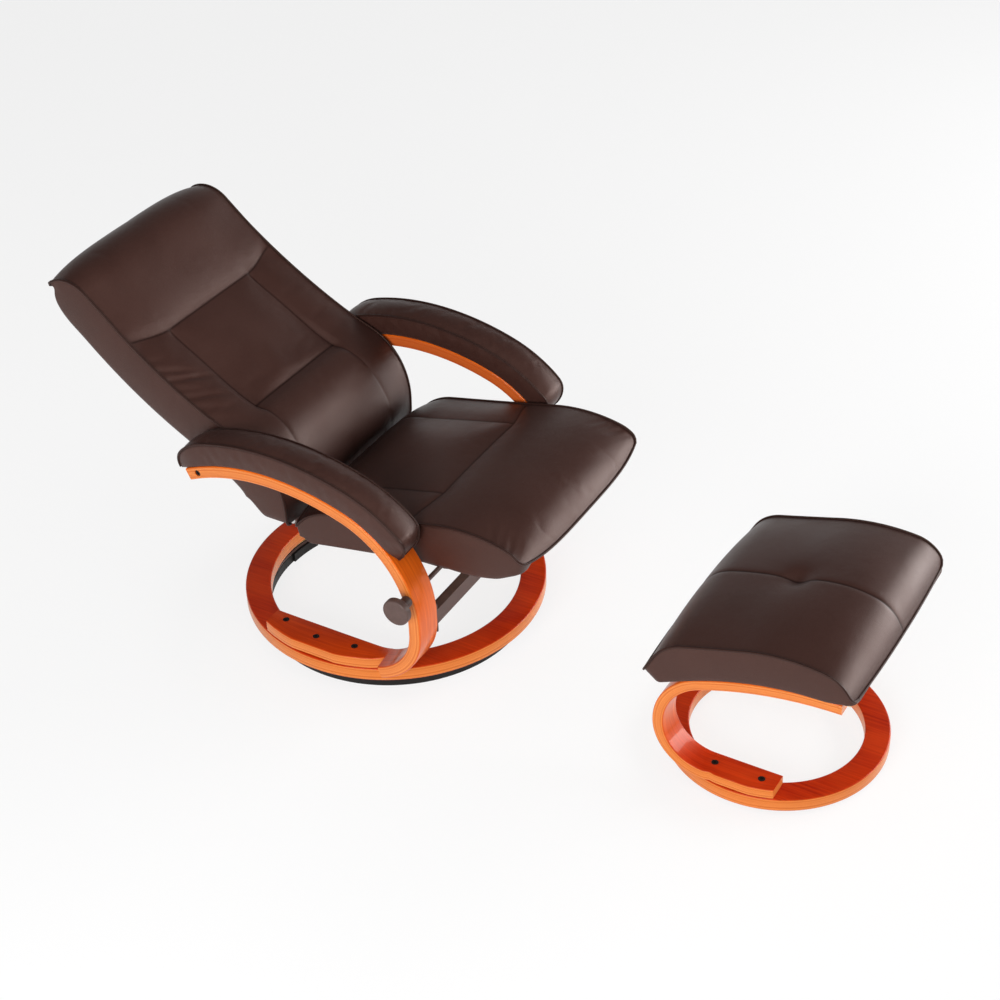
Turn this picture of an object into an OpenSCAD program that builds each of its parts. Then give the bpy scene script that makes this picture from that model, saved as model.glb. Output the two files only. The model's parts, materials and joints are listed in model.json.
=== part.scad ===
// Reclining chair on a swivel ring, with a loose footstool that stands in front of it.
// X runs to the sitter's left, Y to the rear and Z up. The origin is the swivel axis at the floor.
// The back is drawn fully reclined, resting on its stop, with the seat slid fully forward.

/* [Swivel ring] */
// How far the wooden ring reaches past the arms' outer faces
ring_past = 5; // [2:1:12]
// Width of the wooden ring across its flat face
ring_w = 56; // [50:1:60]
// Thickness of the wooden ring
ring_t = 31; // [26:1:36]
// How far the black ring stands inside the wooden ring's edge
floor_ring_in = 32; // [28:1:36]
// Width of the black ring
floor_ring_w = 17; // [15:1:22]
// Height of the black ring
floor_ring_h = 21; // [16:1:28]
// Thickness of the rubber strip on the floor
strip_t = 3; // [2:0.5:6]
// Thickness of each bearing race
race_t = 6; // [4:0.5:9]
// Width of each bearing race
race_w = 15; // [13:0.5:15]
// Space between the two races
race_gap = 6; // [5.5:0.5:7]
// Radius of a bearing ball
ball_r = 4; // [3.6:0.1:4.4]
// Number of bearing balls
ball_count = 24; // [12:1:36]
// Thickness of the ball cage
cage_t = 1.6; // [1:0.1:2.5]
// Angle that the clip over the joint of the black ring covers
clip_angle = 16; // [8:1:24]
// Thickness of that clip
clip_t = 5; // [3:0.5:7]

/* [Arms] */
// Clearance between the seat's side and the arm on each side
side_gap = 11; // [8:0.5:14]
// Width of the arm strip
arm_w = 68; // [60:1:76]
// Thickness of the arm strip
arm_t = 27; // [22:1:32]
// How far behind the swivel axis the foot of an arm ends
foot_back = 132; // [110:1:150]
// Length of the flat foot
foot_len = 254; // [235:1:270]
// Outer radius of the lower bend
bend_r = 150; // [140:1:160]
// Height of the straight upright above the lower bend
arm_rise = 22; // [10:1:35]
// Outer radius of the front shoulder
front_r = 245; // [235:1:255]
// Angle through which the front shoulder turns
front_turn = 71; // [69:1:73]
// Outer radius of the front half of the armrest
top_r = 543; // [500:1:580]
// Outer radius of the rear half of the armrest
rear_r = 470; // [440:1:500]
// Length of the rear half of the armrest
rear_len = 211; // [195:1:225]
// Radius of the foot bolts' shanks
bolt_r = 4; // [3:0.5:5]
// Radius of the foot bolts' heads
bolt_head_r = 7; // [6:0.5:8]
// Height of the foot bolts' heads
bolt_head_t = 4; // [3:0.5:6]
// Distance of the foot bolts from the wooden ring's outer edge
foot_bolt_in = 36; // [32:1:38]
// Angle of the middle foot bolt behind the arm's middle line
foot_bolt_turn = 2; // [0:0.5:4]
// Angle between neighbouring foot bolts
foot_bolt_step = 17.5; // [15:0.5:19]
// Outer radius of the threaded inserts in the wood
insert_r = 6; // [5.5:0.5:8]
// Length of the threaded inserts in the wood
insert_len = 16; // [10:1:20]

/* [Armrest pads] */
// Thickness of the pad at its piping
pad_t = 50; // [40:1:56]
// Rise of the pad's top above its piping
pad_crown = 6; // [2:1:12]
// Height that the outer edge of the pad stands above its inner edge
pad_lean = 5; // [0:1:8]
// How far each side of the pad overhangs the arm strip
pad_over = 2; // [0:0.5:3]
// Length of the pad's rounded front end
pad_nose = 33; // [25:1:45]
// Length of the pad's rounded rear end
pad_tail = 88; // [60:1:100]
// How far the pad reaches past the rear end of the arm
pad_past = 18; // [8:1:24]
// Length of the front shoulder, above the upright, that the pad leaves bare
pad_bare = 160; // [145:1:180]

/* [Cross members] */
// Depth of the stretcher tube
stretcher_d = 20; // [15:1:22]
// Height of the stretcher tube
stretcher_h = 35; // [25:1:40]
// Wall of the stretcher tube
stretcher_wall = 2; // [1.5:0.5:3]
// Thickness of the stretcher's end plates
plate_t = 4; // [3:0.5:6]
// Height of the stretcher's end plates
plate_h = 70; // [62:1:80]
// Radius of the stretcher's screws
screw_r = 2.5; // [2:0.5:3]
// Radius of the screw heads
screw_head_r = 5; // [4.5:0.5:6]
// Length of a wood screw under its head
screw_len = 24; // [16:1:30]
// Radius of the cross rod
rod_r = 5; // [4:0.5:6]
// Angle round the front shoulder at which the cross rod passes through the arms
rod_turn = 16.8; // [14:0.2:20]
// Radius of the knob
knob_r = 29; // [24:1:34]
// Thickness of the knob's disc
knob_t = 18; // [14:1:24]
// Length of the knob's neck
knob_neck = 27; // [20:1:32]
// Radius of the knob's neck
knob_neck_r = 12; // [10:0.5:14]

/* [Recline] */
// Distance along the arm from its rear end to the back's pivot
pivot_in = 28; // [22:1:36]
// Radius of the pivot bolts
pivot_r = 4; // [3:0.5:5]
// Radius of the pivot bolts' heads
pivot_head_r = 6.5; // [6:0.5:8]
// Distance of the seat hinge in front of the back's pivot
hinge_fore = 125; // [115:1:130]
// Distance of the seat hinge below the back's pivot
hinge_drop = 159; // [154:1:166]
// Angle that the back rises from full recline to upright
recline_range = 25; // [15:1:25]
// Angle that the seat turns against the back for each degree of recline
seat_ratio = 1.08; // [1.04:0.01:1.1]

/* [Backrest] */
// How much narrower than the seat the back is on each side
back_in = 6; // [3:1:14]
// Length of the straight lower edge of the back's side
back_low = 40; // [30:1:50]
// Radius of the lumbar curve
lumbar_r = 165; // [155:1:175]
// Angle of the lumbar curve
lumbar_turn = 66.5; // [64:0.5:69]
// Radius of the hollow between lumbar curve and head roll
hollow_r = 1150; // [1000:10:1300]
// Length of that hollow
hollow_len = 371; // [340:1:400]
// Length of the straight part below the head roll
head_len = 60; // [45:1:75]
// Radius of the head roll
head_r = 71; // [66:1:78]
// Angle of the head roll
head_turn = 77; // [70:1:82]
// Thickness of the back cushion in front of its frame
back_foam = 60; // [54:1:64]
// Thickness of the back frame
back_frame_t = 24; // [20:1:26]
// Width of the back frame's rails
rail_w = 32; // [26:1:44]
// Thickness of the leather and foam beside the frame
skirt_t = 15; // [12:1:18]
// Rise of the front of the back above its piping
back_crown = 17; // [10:1:24]
// Thickness of the back's rear panel
rear_panel_t = 14; // [8:1:18]
// Extra depth of the back behind the lumbar curve
lumbar_fill = 14; // [6:1:20]
// Distance of the sewn line under the centre panel from the back's lower edge
panel_seam = 258; // [245:1:280]
// Distance of the head roll's seam from the back's lower edge
head_seam = 503; // [490:1:520]
// Depth of the sewn lines
seam_depth = 4; // [1:0.5:7]

/* [Seat] */
// Half the width of the seat at its piping
seat_half = 246; // [236:1:249]
// Length of the flat run of the seat
seat_flat = 266; // [250:1:280]
// Radius of the seat's front edge
seat_edge_r = 75; // [65:1:85]
// Radius of the seat's front rise
seat_rise_r = 320; // [290:5:350]
// Radius of the seat's rear edge
seat_rear_r = 129; // [115:1:140]
// Rise of the seat's top above its piping
seat_crown = 16; // [8:1:22]
// Thickness of the seat board
seat_board_t = 14; // [10:1:18]
// Slope of the seat board
seat_slope = 9.4; // [8.5:0.1:10.5]
// Thickness of the steel seat brackets
bracket_t = 5; // [4:0.5:6]
// Width of the brackets' flanges under the seat board
flange_w = 22; // [16:1:28]
// Radius of the hinge pins
pin_r = 5; // [4:0.5:6]

/* [Footstool] */
// Distance of the footstool's middle in front of the swivel axis
stool_away = 916; // [880:1:960]
// Distance of the footstool's middle to the sitter's right
stool_aside = 23; // [0:1:40]
// Outer radius of the footstool's ring
stool_r = 226; // [218:1:236]
// Width of the footstool's ring
stool_ring_w = 51; // [46:1:56]
// Thickness of the footstool's ring
stool_ring_t = 30; // [24:1:34]
// Height of the footstool's glides
stool_glide_h = 8.5; // [5:0.5:12]
// Radius of the footstool's glides
stool_glide_r = 13; // [9:1:18]
// Distance between the inner faces of the footstool's strips
stool_gap = 324; // [310:1:334]
// Width of the footstool's strips
stool_strip_w = 61; // [56:1:66]
// Thickness of the footstool's strips
stool_strip_t = 23; // [18:1:26]
// How far in front of the footstool's middle the feet of its strips end
stool_foot_fore = 82; // [70:1:95]
// Length of the flat foot of a footstool strip
stool_foot_len = 141; // [130:1:150]
// Radius of the lower bend of a footstool strip
stool_bend_r = 112; // [104:1:120]
// Radius of the upper bend of a footstool strip
stool_shoulder_r = 140; // [132:1:148]
// Angle of the upper bend
stool_shoulder_turn = 68; // [66:1:70]
// Radius of the rising top of a footstool strip
stool_top_r = 774; // [740:1:800]
// Half the width of the footstool's cushion
stool_half = 232; // [225:1:240]
// Thickness of the footstool's board
stool_board_t = 12; // [9:1:15]
// Height of the lower rear edge of the footstool cushion's piping above its board
stool_low = 27; // [20:1:34]
// Length of the straight rear face of the footstool's cushion
stool_rear = 30; // [24:1:36]
// Radius of its upper rear edge
stool_rear_r = 90; // [82:1:98]
// Length of its flat top
stool_flat = 130; // [120:1:140]
// Radius of its falling front
stool_fall_r = 400; // [380:5:420]
// Radius of its front edge
stool_edge_r = 45; // [40:1:50]
// Rise of the footstool's top above its piping
stool_crown = 15; // [8:1:20]
// Depth of the sewn tuft in the footstool's cushion
tuft_depth = 9; // [4:1:12]

/* [Hidden] */

wood = "#b8430f";
leather = "#4a3430";
steel = "#3c3432";
black = "#1b1716";
brass = "#b08d4a";
pale = "#c9a877";
eps = 1;             // overrun of every cut
fit = 0.1;           // clearance round a bolt, pin or insert
seat_gap = 0.3;      // clearance of soft and turning pieces from their seats
facet = 3;           // degrees of one facet of a bent strip
$fn = 96;

// Paths. A station is [y, z, heading]. A leg is [length, radius]: radius 0 is straight,
// a positive radius turns towards the right of the heading and a negative one to the left.
function step(s, leg, d) = leg[1] == 0
    ? [s[0] + d * cos(s[2]), s[1] + d * sin(s[2]), s[2]]
    : let (h = s[2] - d / leg[1] * 180 / PI)
      [s[0] + leg[1] * (sin(s[2]) - sin(h)), s[1] - leg[1] * (cos(s[2]) - cos(h)), h];
function walk(s, legs, d, i = 0) = i == len(legs) - 1 || d <= legs[i][0]
    ? step(s, legs[i], d)
    : walk(step(s, legs[i], legs[i][0]), legs, d - legs[i][0], i + 1);
function total(legs, i = 0) = i == len(legs) ? 0 : legs[i][0] + total(legs, i + 1);
function run(length) = [length, 0];
function bend(radius, turn) = [abs(radius) * turn * PI / 180, radius];
function marks(legs, i = 0, d = 0) = i == len(legs) ? [d] : let (
        leg = legs[i],
        n = leg[1] == 0 ? 1 : ceil(leg[0] / abs(leg[1]) * 180 / PI / facet)
    ) concat([for (j = [0:n - 1]) d + leg[0] * j / n], marks(legs, i + 1, d + leg[0]));
// The point at a depth to the right of a station
function off(s, depth) = [s[0] + depth * sin(s[2]), s[1] - depth * cos(s[2])];
function mix(a, b, t) = a + (b - a) * t;
function between(list, from, to) = [for (d = list) if (d > from && d < to) d];
// Outline of a strip of constant thickness along part of a path
function strip_outline(start, legs, from, to, top, bottom) = let (
        ds = concat([from], between(marks(legs), from, to), [to]),
        last = len(ds) - 1
    ) concat([for (d = ds) off(walk(start, legs, d), top)],
             [for (i = [0:last]) off(walk(start, legs, ds[last - i]), bottom)]);

// Extrudes an outline drawn in Y and Z from x0 to x1
module slab(x0, x1) {
    translate([x0, 0, 0]) rotate([90, 0, 90]) linear_extrude(x1 - x0) children();
}
module at_x(x, place) {
    translate([x, place[0], place[1]]) rotate([0, 90, 0]) children();
}
module both_sides() {
    children();
    mirror([1, 0, 0]) children();
}
module tube(outer, inner, h) {
    difference() {
        cylinder(r = outer, h = h);
        translate([0, 0, -eps]) cylinder(r = inner, h = h + 2 * eps);
    }
}
module around(count, start = 0) {
    for (i = [0:count - 1]) rotate(start + i * 360 / count) children();
}

// Widths, from the seat outwards
arm_in = seat_half + side_gap;
arm_out = arm_in + arm_w;
ring_r = arm_out + ring_past;
floor_ring_r = ring_r - floor_ring_in;
foot_bolt_ring_r = ring_r - foot_bolt_in;
back_half = seat_half - back_in;

// Heights of the swivel stack
lower_race_z = strip_t + floor_ring_h;
ball_z = lower_race_z + race_t + race_gap / 2;
upper_race_z = lower_race_z + race_t + race_gap;
ring_z = upper_race_z + race_t;
ring_top = ring_z + ring_t;
race_mid_r = floor_ring_r - floor_ring_w / 2;

// Arms
arm_start = [foot_back, ring_top, 180];
arm_legs = [run(foot_len), bend(bend_r, 90), run(arm_rise), bend(front_r, front_turn),
            bend(top_r, 90 - front_turn), [rear_len, rear_r]];
arm_total = total(arm_legs);
upright_at = foot_len + arm_legs[1][0];
shoulder_at = upright_at + arm_rise;
rod_at = shoulder_at + bend(front_r, rod_turn)[0];
rod_place = off(walk(arm_start, arm_legs, rod_at), arm_t / 2);
pivot = off(walk(arm_start, arm_legs, arm_total - pivot_in), arm_t / 2);
stretcher_mid = off(walk(arm_start, arm_legs, upright_at), arm_t / 2) + [0, arm_rise / 6];
foot_bolt_angles = [for (i = [-1:1]) foot_bolt_turn + i * foot_bolt_step];
foot_top = ring_top + arm_t;
head_gap = 0.5;      // clearance round a bolt's head
arm_trim = 1;        // how far the trimmed foot stays inside the ring's edge

// Seat hinge, and the seat's place in the world at a recline angle
hinge = [pivot[0] - hinge_fore, pivot[1] - hinge_drop];
function turn(p, a) = [p[0] * cos(a) - p[1] * sin(a), p[0] * sin(a) + p[1] * cos(a)];
// Where the cross rod stands in the seat's own place when the back has risen by an angle
function rod_in_seat(a) = hinge + turn(rod_place - pivot - turn(hinge - pivot, a), (seat_ratio - 1) * a);

// Backrest
back_legs = [run(back_low), bend(lumbar_r, lumbar_turn), [hollow_len, -hollow_r], run(head_len),
             bend(head_r, head_turn)];
back_total = total(back_legs);
back_fore_share = 1.176;   // the back's lower front edge, by the hinge's distances from the pivot
back_drop_share = 0.874;
back_start = [pivot[0] - back_fore_share * hinge_fore, pivot[1] - back_drop_share * hinge_drop, 90];
back_inner = back_half - skirt_t;
frame_half = back_inner - seat_gap;
frame_from = back_low * 0.9;
frame_to = back_total - bend(head_r, head_turn)[0] - head_len / 2;

// Seat
seat_legs = [bend(seat_edge_r, 45), bend(seat_rise_r, 27.5), run(seat_flat), bend(seat_rear_r, 43.5)];
seat_heading = 60;
seat_total = total(seat_legs);
seat_rear_shares = [0.412, 0.226];   // the seat's rear edge in front of the hinge and above it
seat_rear = hinge + [-seat_rear_shares[0] * hinge_fore, seat_rear_shares[1] * hinge_drop];
seat_run = walk([0, 0, seat_heading], seat_legs, seat_total);
seat_start = [seat_rear[0] - seat_run[0], seat_rear[1] - seat_run[1], seat_heading];
// Underside of the seat board, as a line from a point under the seat's rear edge
seat_base_shares = [0.31, 0.264];
seat_base = seat_rear - seat_rear_r * seat_base_shares;
function base_z(y) = seat_base[1] + (seat_base[0] - y) * tan(seat_slope);

// Footstool, drawn with its own middle at the origin and its open side towards +Y, then turned round
stool_ring_top = stool_glide_h + stool_ring_t;
stool_in = stool_gap / 2;
stool_out = stool_in + stool_strip_w;
stool_start = [stool_foot_fore, stool_ring_top, 180];
stool_legs = [run(stool_foot_len), bend(stool_bend_r, 90), bend(stool_shoulder_r, stool_shoulder_turn),
              bend(stool_top_r, 90 - stool_shoulder_turn)];
stool_total = total(stool_legs);
stool_slope_at = stool_total - stool_legs[3][0];

// Cushions. A section has an outer chain over the top and sides and an inner chain along the underside,
// both from the sitter's right to the left.
function unit(v) = v / norm(v);
side_shares = [0.96, 0.66, 0.33];
top_shares = [-1, -0.95, -0.8, -0.56, -0.3, 0, 0.3, 0.56, 0.8, 0.95, 1];
side_last = len(side_shares) - 1;
chain_last = len(top_shares) + 2 * len(side_shares) - 1;
// top, bottom: points at the piping and below it; half: half width; bulge: of the sides; lifts: per share
function outer_chain(top, bottom, half, bulge, lifts) = let (up = unit(top - bottom)) concat(
    [for (v = side_shares) let (p = mix(top, bottom, v)) [-half - bulge * 4 * v * (1 - v), p[0], p[1]]],
    [for (i = [0:len(top_shares) - 1]) let (p = top + up * lifts[i]) [half * top_shares[i], p[0], p[1]]],
    [for (i = [0:side_last]) let (v = side_shares[side_last - i], p = mix(top, bottom, v))
        [half + bulge * 4 * v * (1 - v), p[0], p[1]]]);
function flat_chain(bottom, half) = [for (i = [0:chain_last])
    [half * (2 * i / chain_last - 1), bottom[0], bottom[1]]];
// An underside with a pocket: foot is the pocket's floor, and half the pocket's half width
function pocket_chain(bottom, foot, half) = let (m = mix(bottom, foot, 0.5)) concat(
    [[-half, bottom[0], bottom[1]], [-half, m[0], m[1]], [-half, foot[0], foot[1]]],
    [for (v = top_shares) [half * v * 0.98, foot[0], foot[1]]],
    [[half, foot[0], foot[1]], [half, m[0], m[1]], [half, bottom[0], bottom[1]]]);
module loft(sections) {
    m = len(sections[0][0]);
    k = 2 * m;
    rows = len(sections) - 2;
    end = (len(sections) - 1) * k;
    polyhedron(points = [for (s = sections) each concat(s[0], s[1])], faces = concat(
        [for (i = [0:rows], j = [0:m - 2]) let (a = i * k + j, b = a + k) each
            [[a, b + 1, a + 1], [a, b, b + 1], [a + m, a + m + 1, b + m + 1], [a + m, b + m + 1, b + m]]],
        [for (i = [0:rows]) let (a = i * k, b = a + k) each
            [[a, b + m, b], [a, a + m, b + m],
             [a + m - 1, b + k - 1, a + k - 1], [a + m - 1, b + m - 1, b + k - 1]]],
        [for (j = [0:m - 2]) each [[j, m + j + 1, m + j], [j, j + 1, m + j + 1],
            [end + j, end + m + j + 1, end + j + 1], [end + j, end + m + j, end + m + j + 1]]]));
}

// Swivel base
strip_in = 2;        // the rubber strip is this much narrower than the black ring on each side
module floor_ring() {
    color(black) translate([0, 0, strip_t]) tube(floor_ring_r, floor_ring_r - floor_ring_w, floor_ring_h);
}
module floor_strip() {
    color("#2a2422") tube(floor_ring_r - strip_in, floor_ring_r - floor_ring_w + strip_in, strip_t);
}
module ring_clip() {
    color(black) rotate(90 - clip_angle) rotate_extrude(angle = clip_angle)
        translate([floor_ring_r - floor_ring_w - clip_t - fit, strip_t]) square([clip_t, floor_ring_h]);
}
module race(z) {
    color(steel) difference() {
        translate([0, 0, z]) tube(race_mid_r + race_w / 2, race_mid_r - race_w / 2, race_t);
        rotate_extrude() translate([race_mid_r, ball_z]) circle(r = ball_r + seat_gap);
    }
}
module lower_race() { race(lower_race_z); }
module upper_race() { race(upper_race_z); }
module bearing_balls() {
    color("silver") around(ball_count) translate([race_mid_r, 0, ball_z]) sphere(r = ball_r);
}
cage_edge = 2;       // the cage is this much narrower than the races on each side
module ball_cage() {
    color(brass) difference() {
        translate([0, 0, ball_z - cage_t / 2])
            tube(race_mid_r + race_w / 2 - cage_edge, race_mid_r - race_w / 2 + cage_edge, cage_t);
        around(ball_count) translate([race_mid_r, 0, ball_z - cage_t])
            cylinder(r = ball_r + seat_gap, h = 2 * cage_t);
    }
}

// Foot bolts of the arm on the sitter's left; the other arm's are their mirror image
module foot_spots() {
    for (a = foot_bolt_angles) rotate(a) translate([foot_bolt_ring_r, 0, 0]) children();
}
module wooden_ring() {
    color(wood) difference() {
        translate([0, 0, ring_z]) tube(ring_r, ring_r - ring_w, ring_t);
        both_sides() foot_spots() translate([0, 0, ring_top - insert_len])
            cylinder(r = insert_r + fit, h = insert_len + eps);
    }
}
module foot_inserts() {
    color(brass) both_sides() foot_spots() translate([0, 0, ring_top - insert_len])
        tube(insert_r, bolt_r + fit, insert_len);
}
module foot_bolts() {
    color(steel) both_sides() foot_spots() {
        translate([0, 0, foot_top - bolt_head_t]) difference() {
            cylinder(r = bolt_head_r, h = bolt_head_t);
            translate([0, 0, bolt_head_t / 2]) cylinder(r = bolt_r, h = bolt_head_t, $fn = 6);
        }
        translate([0, 0, ring_top - insert_len])
            cylinder(r = bolt_r, h = arm_t + insert_len - bolt_head_t);
    }
}

// Arms
pivot_head_t = pivot_r + eps;
pivot_sunk = 2 * eps + pivot_head_t;
plate_screw_z = plate_h / 2 - screw_head_r - plate_t;
module plate_screw_spots() {
    for (side = [-1, 1])
        translate([0, stretcher_mid[0], stretcher_mid[1] + side * plate_screw_z]) children();
}
module arm() {
    color(wood) difference() {
        slab(arm_in, arm_out) polygon(strip_outline(arm_start, arm_legs, 0, arm_total, 0, arm_t));
        translate([0, 0, ring_top - eps]) linear_extrude(arm_t + 2 * eps) difference() {
            square([arm_out + eps, foot_back + eps]);
            circle(r = ring_r - arm_trim);
        }
        foot_spots() {
            translate([0, 0, foot_top - bolt_head_t]) cylinder(r = bolt_head_r + head_gap, h = arm_t);
            translate([0, 0, ring_top - eps]) cylinder(r = bolt_r + fit, h = arm_t);
        }
        at_x(arm_in - eps, pivot) cylinder(r = pivot_r + fit, h = arm_w);
        at_x(arm_out - pivot_sunk, pivot) cylinder(r = pivot_head_r + head_gap, h = arm_w);
        at_x(arm_in - eps, rod_place) cylinder(r = rod_r + fit, h = arm_w + 2 * eps);
        plate_screw_spots() at_x(arm_in - eps, [0, 0]) cylinder(r = screw_r + fit, h = screw_len);
    }
}
module left_arm() { arm(); }
module right_arm() { mirror([1, 0, 0]) arm(); }

// Armrest pads
pad_from = shoulder_at + pad_bare;
pad_to = arm_total + pad_past;
pad_steps = 24;
pad_gap = 0.6;       // clearance under a pad, which bridges the facets of the arm
pad_tip_share = 0.1;
// Spacing that crowds the sections towards both ends
function crowd(t) = (1 - cos(180 * t)) / 2;
function pad_height(d) = let (
        a = max(0, 1 - (d - pad_from) / pad_nose),
        b = max(0, 1 - (pad_to - d) / pad_tail)
    ) pad_t * max(pad_tip_share, sqrt(max(0, 1 - a * a)) * sqrt(max(0, 1 - b * b)));
module arm_pad() {
    mid = arm_in + arm_w / 2;
    half = arm_w / 2 + pad_over;
    color(leather) translate([mid, 0, 0]) loft([for (i = [0:pad_steps]) let (
            d = mix(pad_from, pad_to, crowd(i / pad_steps)),
            s = walk(arm_start, arm_legs, d),
            h = pad_height(d),
            lifts = [for (v = top_shares) (pad_crown * (1 - v * v) + pad_lean * v / 2) * h / pad_t]
        ) [outer_chain(off(s, -h), off(s, -pad_gap), half, pad_over / 2, lifts),
           flat_chain(off(s, -pad_gap), half - eps)]]);
}
module left_arm_pad() { arm_pad(); }
module right_arm_pad() { mirror([1, 0, 0]) arm_pad(); }

// Stretcher between the front bends
module stretcher() {
    inner = arm_in - plate_t;
    color(steel) {
        difference() {
            slab(-inner, inner) translate(stretcher_mid) square([stretcher_d, stretcher_h], center = true);
            slab(-inner - eps, inner + eps) translate(stretcher_mid)
                square([stretcher_d, stretcher_h] - 2 * [stretcher_wall, stretcher_wall], center = true);
        }
        both_sides() difference() {
            slab(inner, arm_in) translate(stretcher_mid) square([arm_t - plate_t, plate_h], center = true);
            plate_screw_spots() at_x(inner - eps, [0, 0]) cylinder(r = screw_r + fit, h = plate_t + 2 * eps);
        }
    }
}
module screw_head() {
    cylinder(r1 = screw_head_r / 2, r2 = screw_head_r, h = screw_r);
}
module stretcher_screws() {
    color(black) both_sides() plate_screw_spots() {
        at_x(arm_in - plate_t, [0, 0]) cylinder(r = screw_r, h = screw_len);
        at_x(arm_in - plate_t - screw_r, [0, 0]) screw_head();
    }
}

// Cross rod, with the knob outside the sitter's right arm
washer_t = 1.6;
washer_r = 11;
nut_r = 9.5;
nut_t = 8;
knob_insert_r = rod_r + 2.5;
knob_round = 4;
rod_right = arm_out + washer_t + knob_neck + knob_t / 2;
rod_left = arm_out + washer_t + nut_t;
module cross_rod() {
    color(steel) at_x(-rod_right, rod_place) cylinder(r = rod_r, h = rod_right + rod_left);
}
module rod_washers() {
    color(steel) both_sides() at_x(arm_out, rod_place) tube(washer_r, rod_r + fit, washer_t);
}
module rod_cap_nut() {
    color(steel) at_x(arm_out + washer_t, rod_place) difference() {
        union() {
            cylinder(r = nut_r, h = nut_t, $fn = 6);
            translate([0, 0, nut_t]) cylinder(r1 = rod_r + 2 * eps, r2 = rod_r, h = nut_t / 2);
        }
        translate([0, 0, -eps]) cylinder(r = rod_r + fit, h = nut_t + 2 * eps);
    }
}
// The knob stands on the negative side, so its profile runs from the arm outwards
module knob_place() {
    translate([-arm_out - washer_t - seat_gap, rod_place[0], rod_place[1]]) rotate([0, -90, 0]) children();
}
module clamp_knob() {
    outer = knob_neck + knob_t;
    corner = [for (a = [0:15:90]) [knob_r - knob_round + knob_round * cos(a),
                                   outer - knob_round + knob_round * sin(a)]];
    color(steel) knob_place() rotate_extrude() polygon(concat(
        [[knob_insert_r + fit, 0], [knob_neck_r, 0], [knob_neck_r, knob_neck - knob_round],
         [knob_r - knob_round, knob_neck], [knob_r, knob_neck + knob_round]],
        corner, [[0, outer], [0, outer - knob_t / 4], [knob_insert_r + fit, outer - knob_t / 4]]));
}
module knob_insert() {
    color(brass) knob_place() tube(knob_insert_r, rod_r + fit, knob_neck + knob_t / 2);
}

// Back pivots at the rear ends of the arms
spacer_r = 11;
pivot_tip = frame_half - rail_w * 0.7;
module pivot_bolts() {
    color(steel) both_sides() {
        at_x(pivot_tip, pivot) cylinder(r = pivot_r, h = arm_out - pivot_sunk - pivot_tip);
        at_x(arm_out - pivot_sunk, pivot) difference() {
            cylinder(r = pivot_head_r, h = pivot_head_t);
            translate([0, 0, pivot_head_t / 2]) cylinder(r = pivot_r * 0.8, h = pivot_head_t, $fn = 6);
        }
    }
}
module pivot_spacers() {
    color(steel) both_sides() at_x(frame_half, pivot)
        tube(spacer_r, pivot_r + fit, arm_in - seat_gap - frame_half);
}
module pivot_inserts() {
    color(brass) both_sides() at_x(frame_half - rail_w * 0.75, pivot)
        tube(insert_r, pivot_r + fit, rail_w * 0.75);
}

// Back
back_tail = back_low * 1.25;
function bump(d) = pow(sin(180 * min(1, max(0, d / (back_total * 0.45)))), 2);
back_full = back_foam + back_frame_t + rear_panel_t;
low_depth_share = 0.55;
function back_depth(d) = (back_full + lumbar_fill * bump(d))
    * mix(low_depth_share, 1, min(1, max(0, d / back_tail)));
function back_at(d) = walk(back_start, back_legs, d);
module back_layer(half, from, to, top, bottom) {
    slab(-half, half) polygon(strip_outline(back_start, back_legs, from, to, top, bottom));
}
frame_front = back_foam + seat_gap;
frame_back = back_foam + back_frame_t - seat_gap;
rail_in = frame_half - rail_w;
lug_x = rail_in - bracket_t;
lug_to = frame_from + back_low * 1.3;
lug_screw_ds = [mix(frame_from, lug_to, 0.27), mix(frame_from, lug_to, 0.77)];
rail_mid = (frame_front + frame_back) / 2;
module back_side_rails() {
    color(pale) both_sides() difference() {
        slab(rail_in, frame_half)
            polygon(strip_outline(back_start, back_legs, frame_from, frame_to, frame_front, frame_back));
        at_x(rail_in - eps, pivot) cylinder(r = insert_r + fit, h = rail_w + 2 * eps);
        lug_screw_spots() at_x(rail_in - eps, [0, 0]) cylinder(r = screw_r + fit, h = screw_len);
    }
}
cross_rail_froms = [lug_to + bracket_t, (lug_to + frame_to) / 2, frame_to - rail_w];
module back_cross_rails() {
    color(pale) for (d = cross_rail_froms) back_layer(rail_in, d, d + rail_w, frame_front, frame_back);
}
strap_t = 2;
strap_w = rail_w * 1.35;
strap_count = 5;
module back_straps() {
    color(black) for (i = [1:strap_count]) {
        mid = mix(cross_rail_froms[0] + rail_w, frame_to - rail_w, i / (strap_count + 1));
        if (abs(mid - cross_rail_froms[1] - rail_w / 2) > (strap_w + rail_w) / 2)
            back_layer(rail_in, mid - strap_w / 2, mid + strap_w / 2, rail_mid, rail_mid + strap_t);
    }
}
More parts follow.
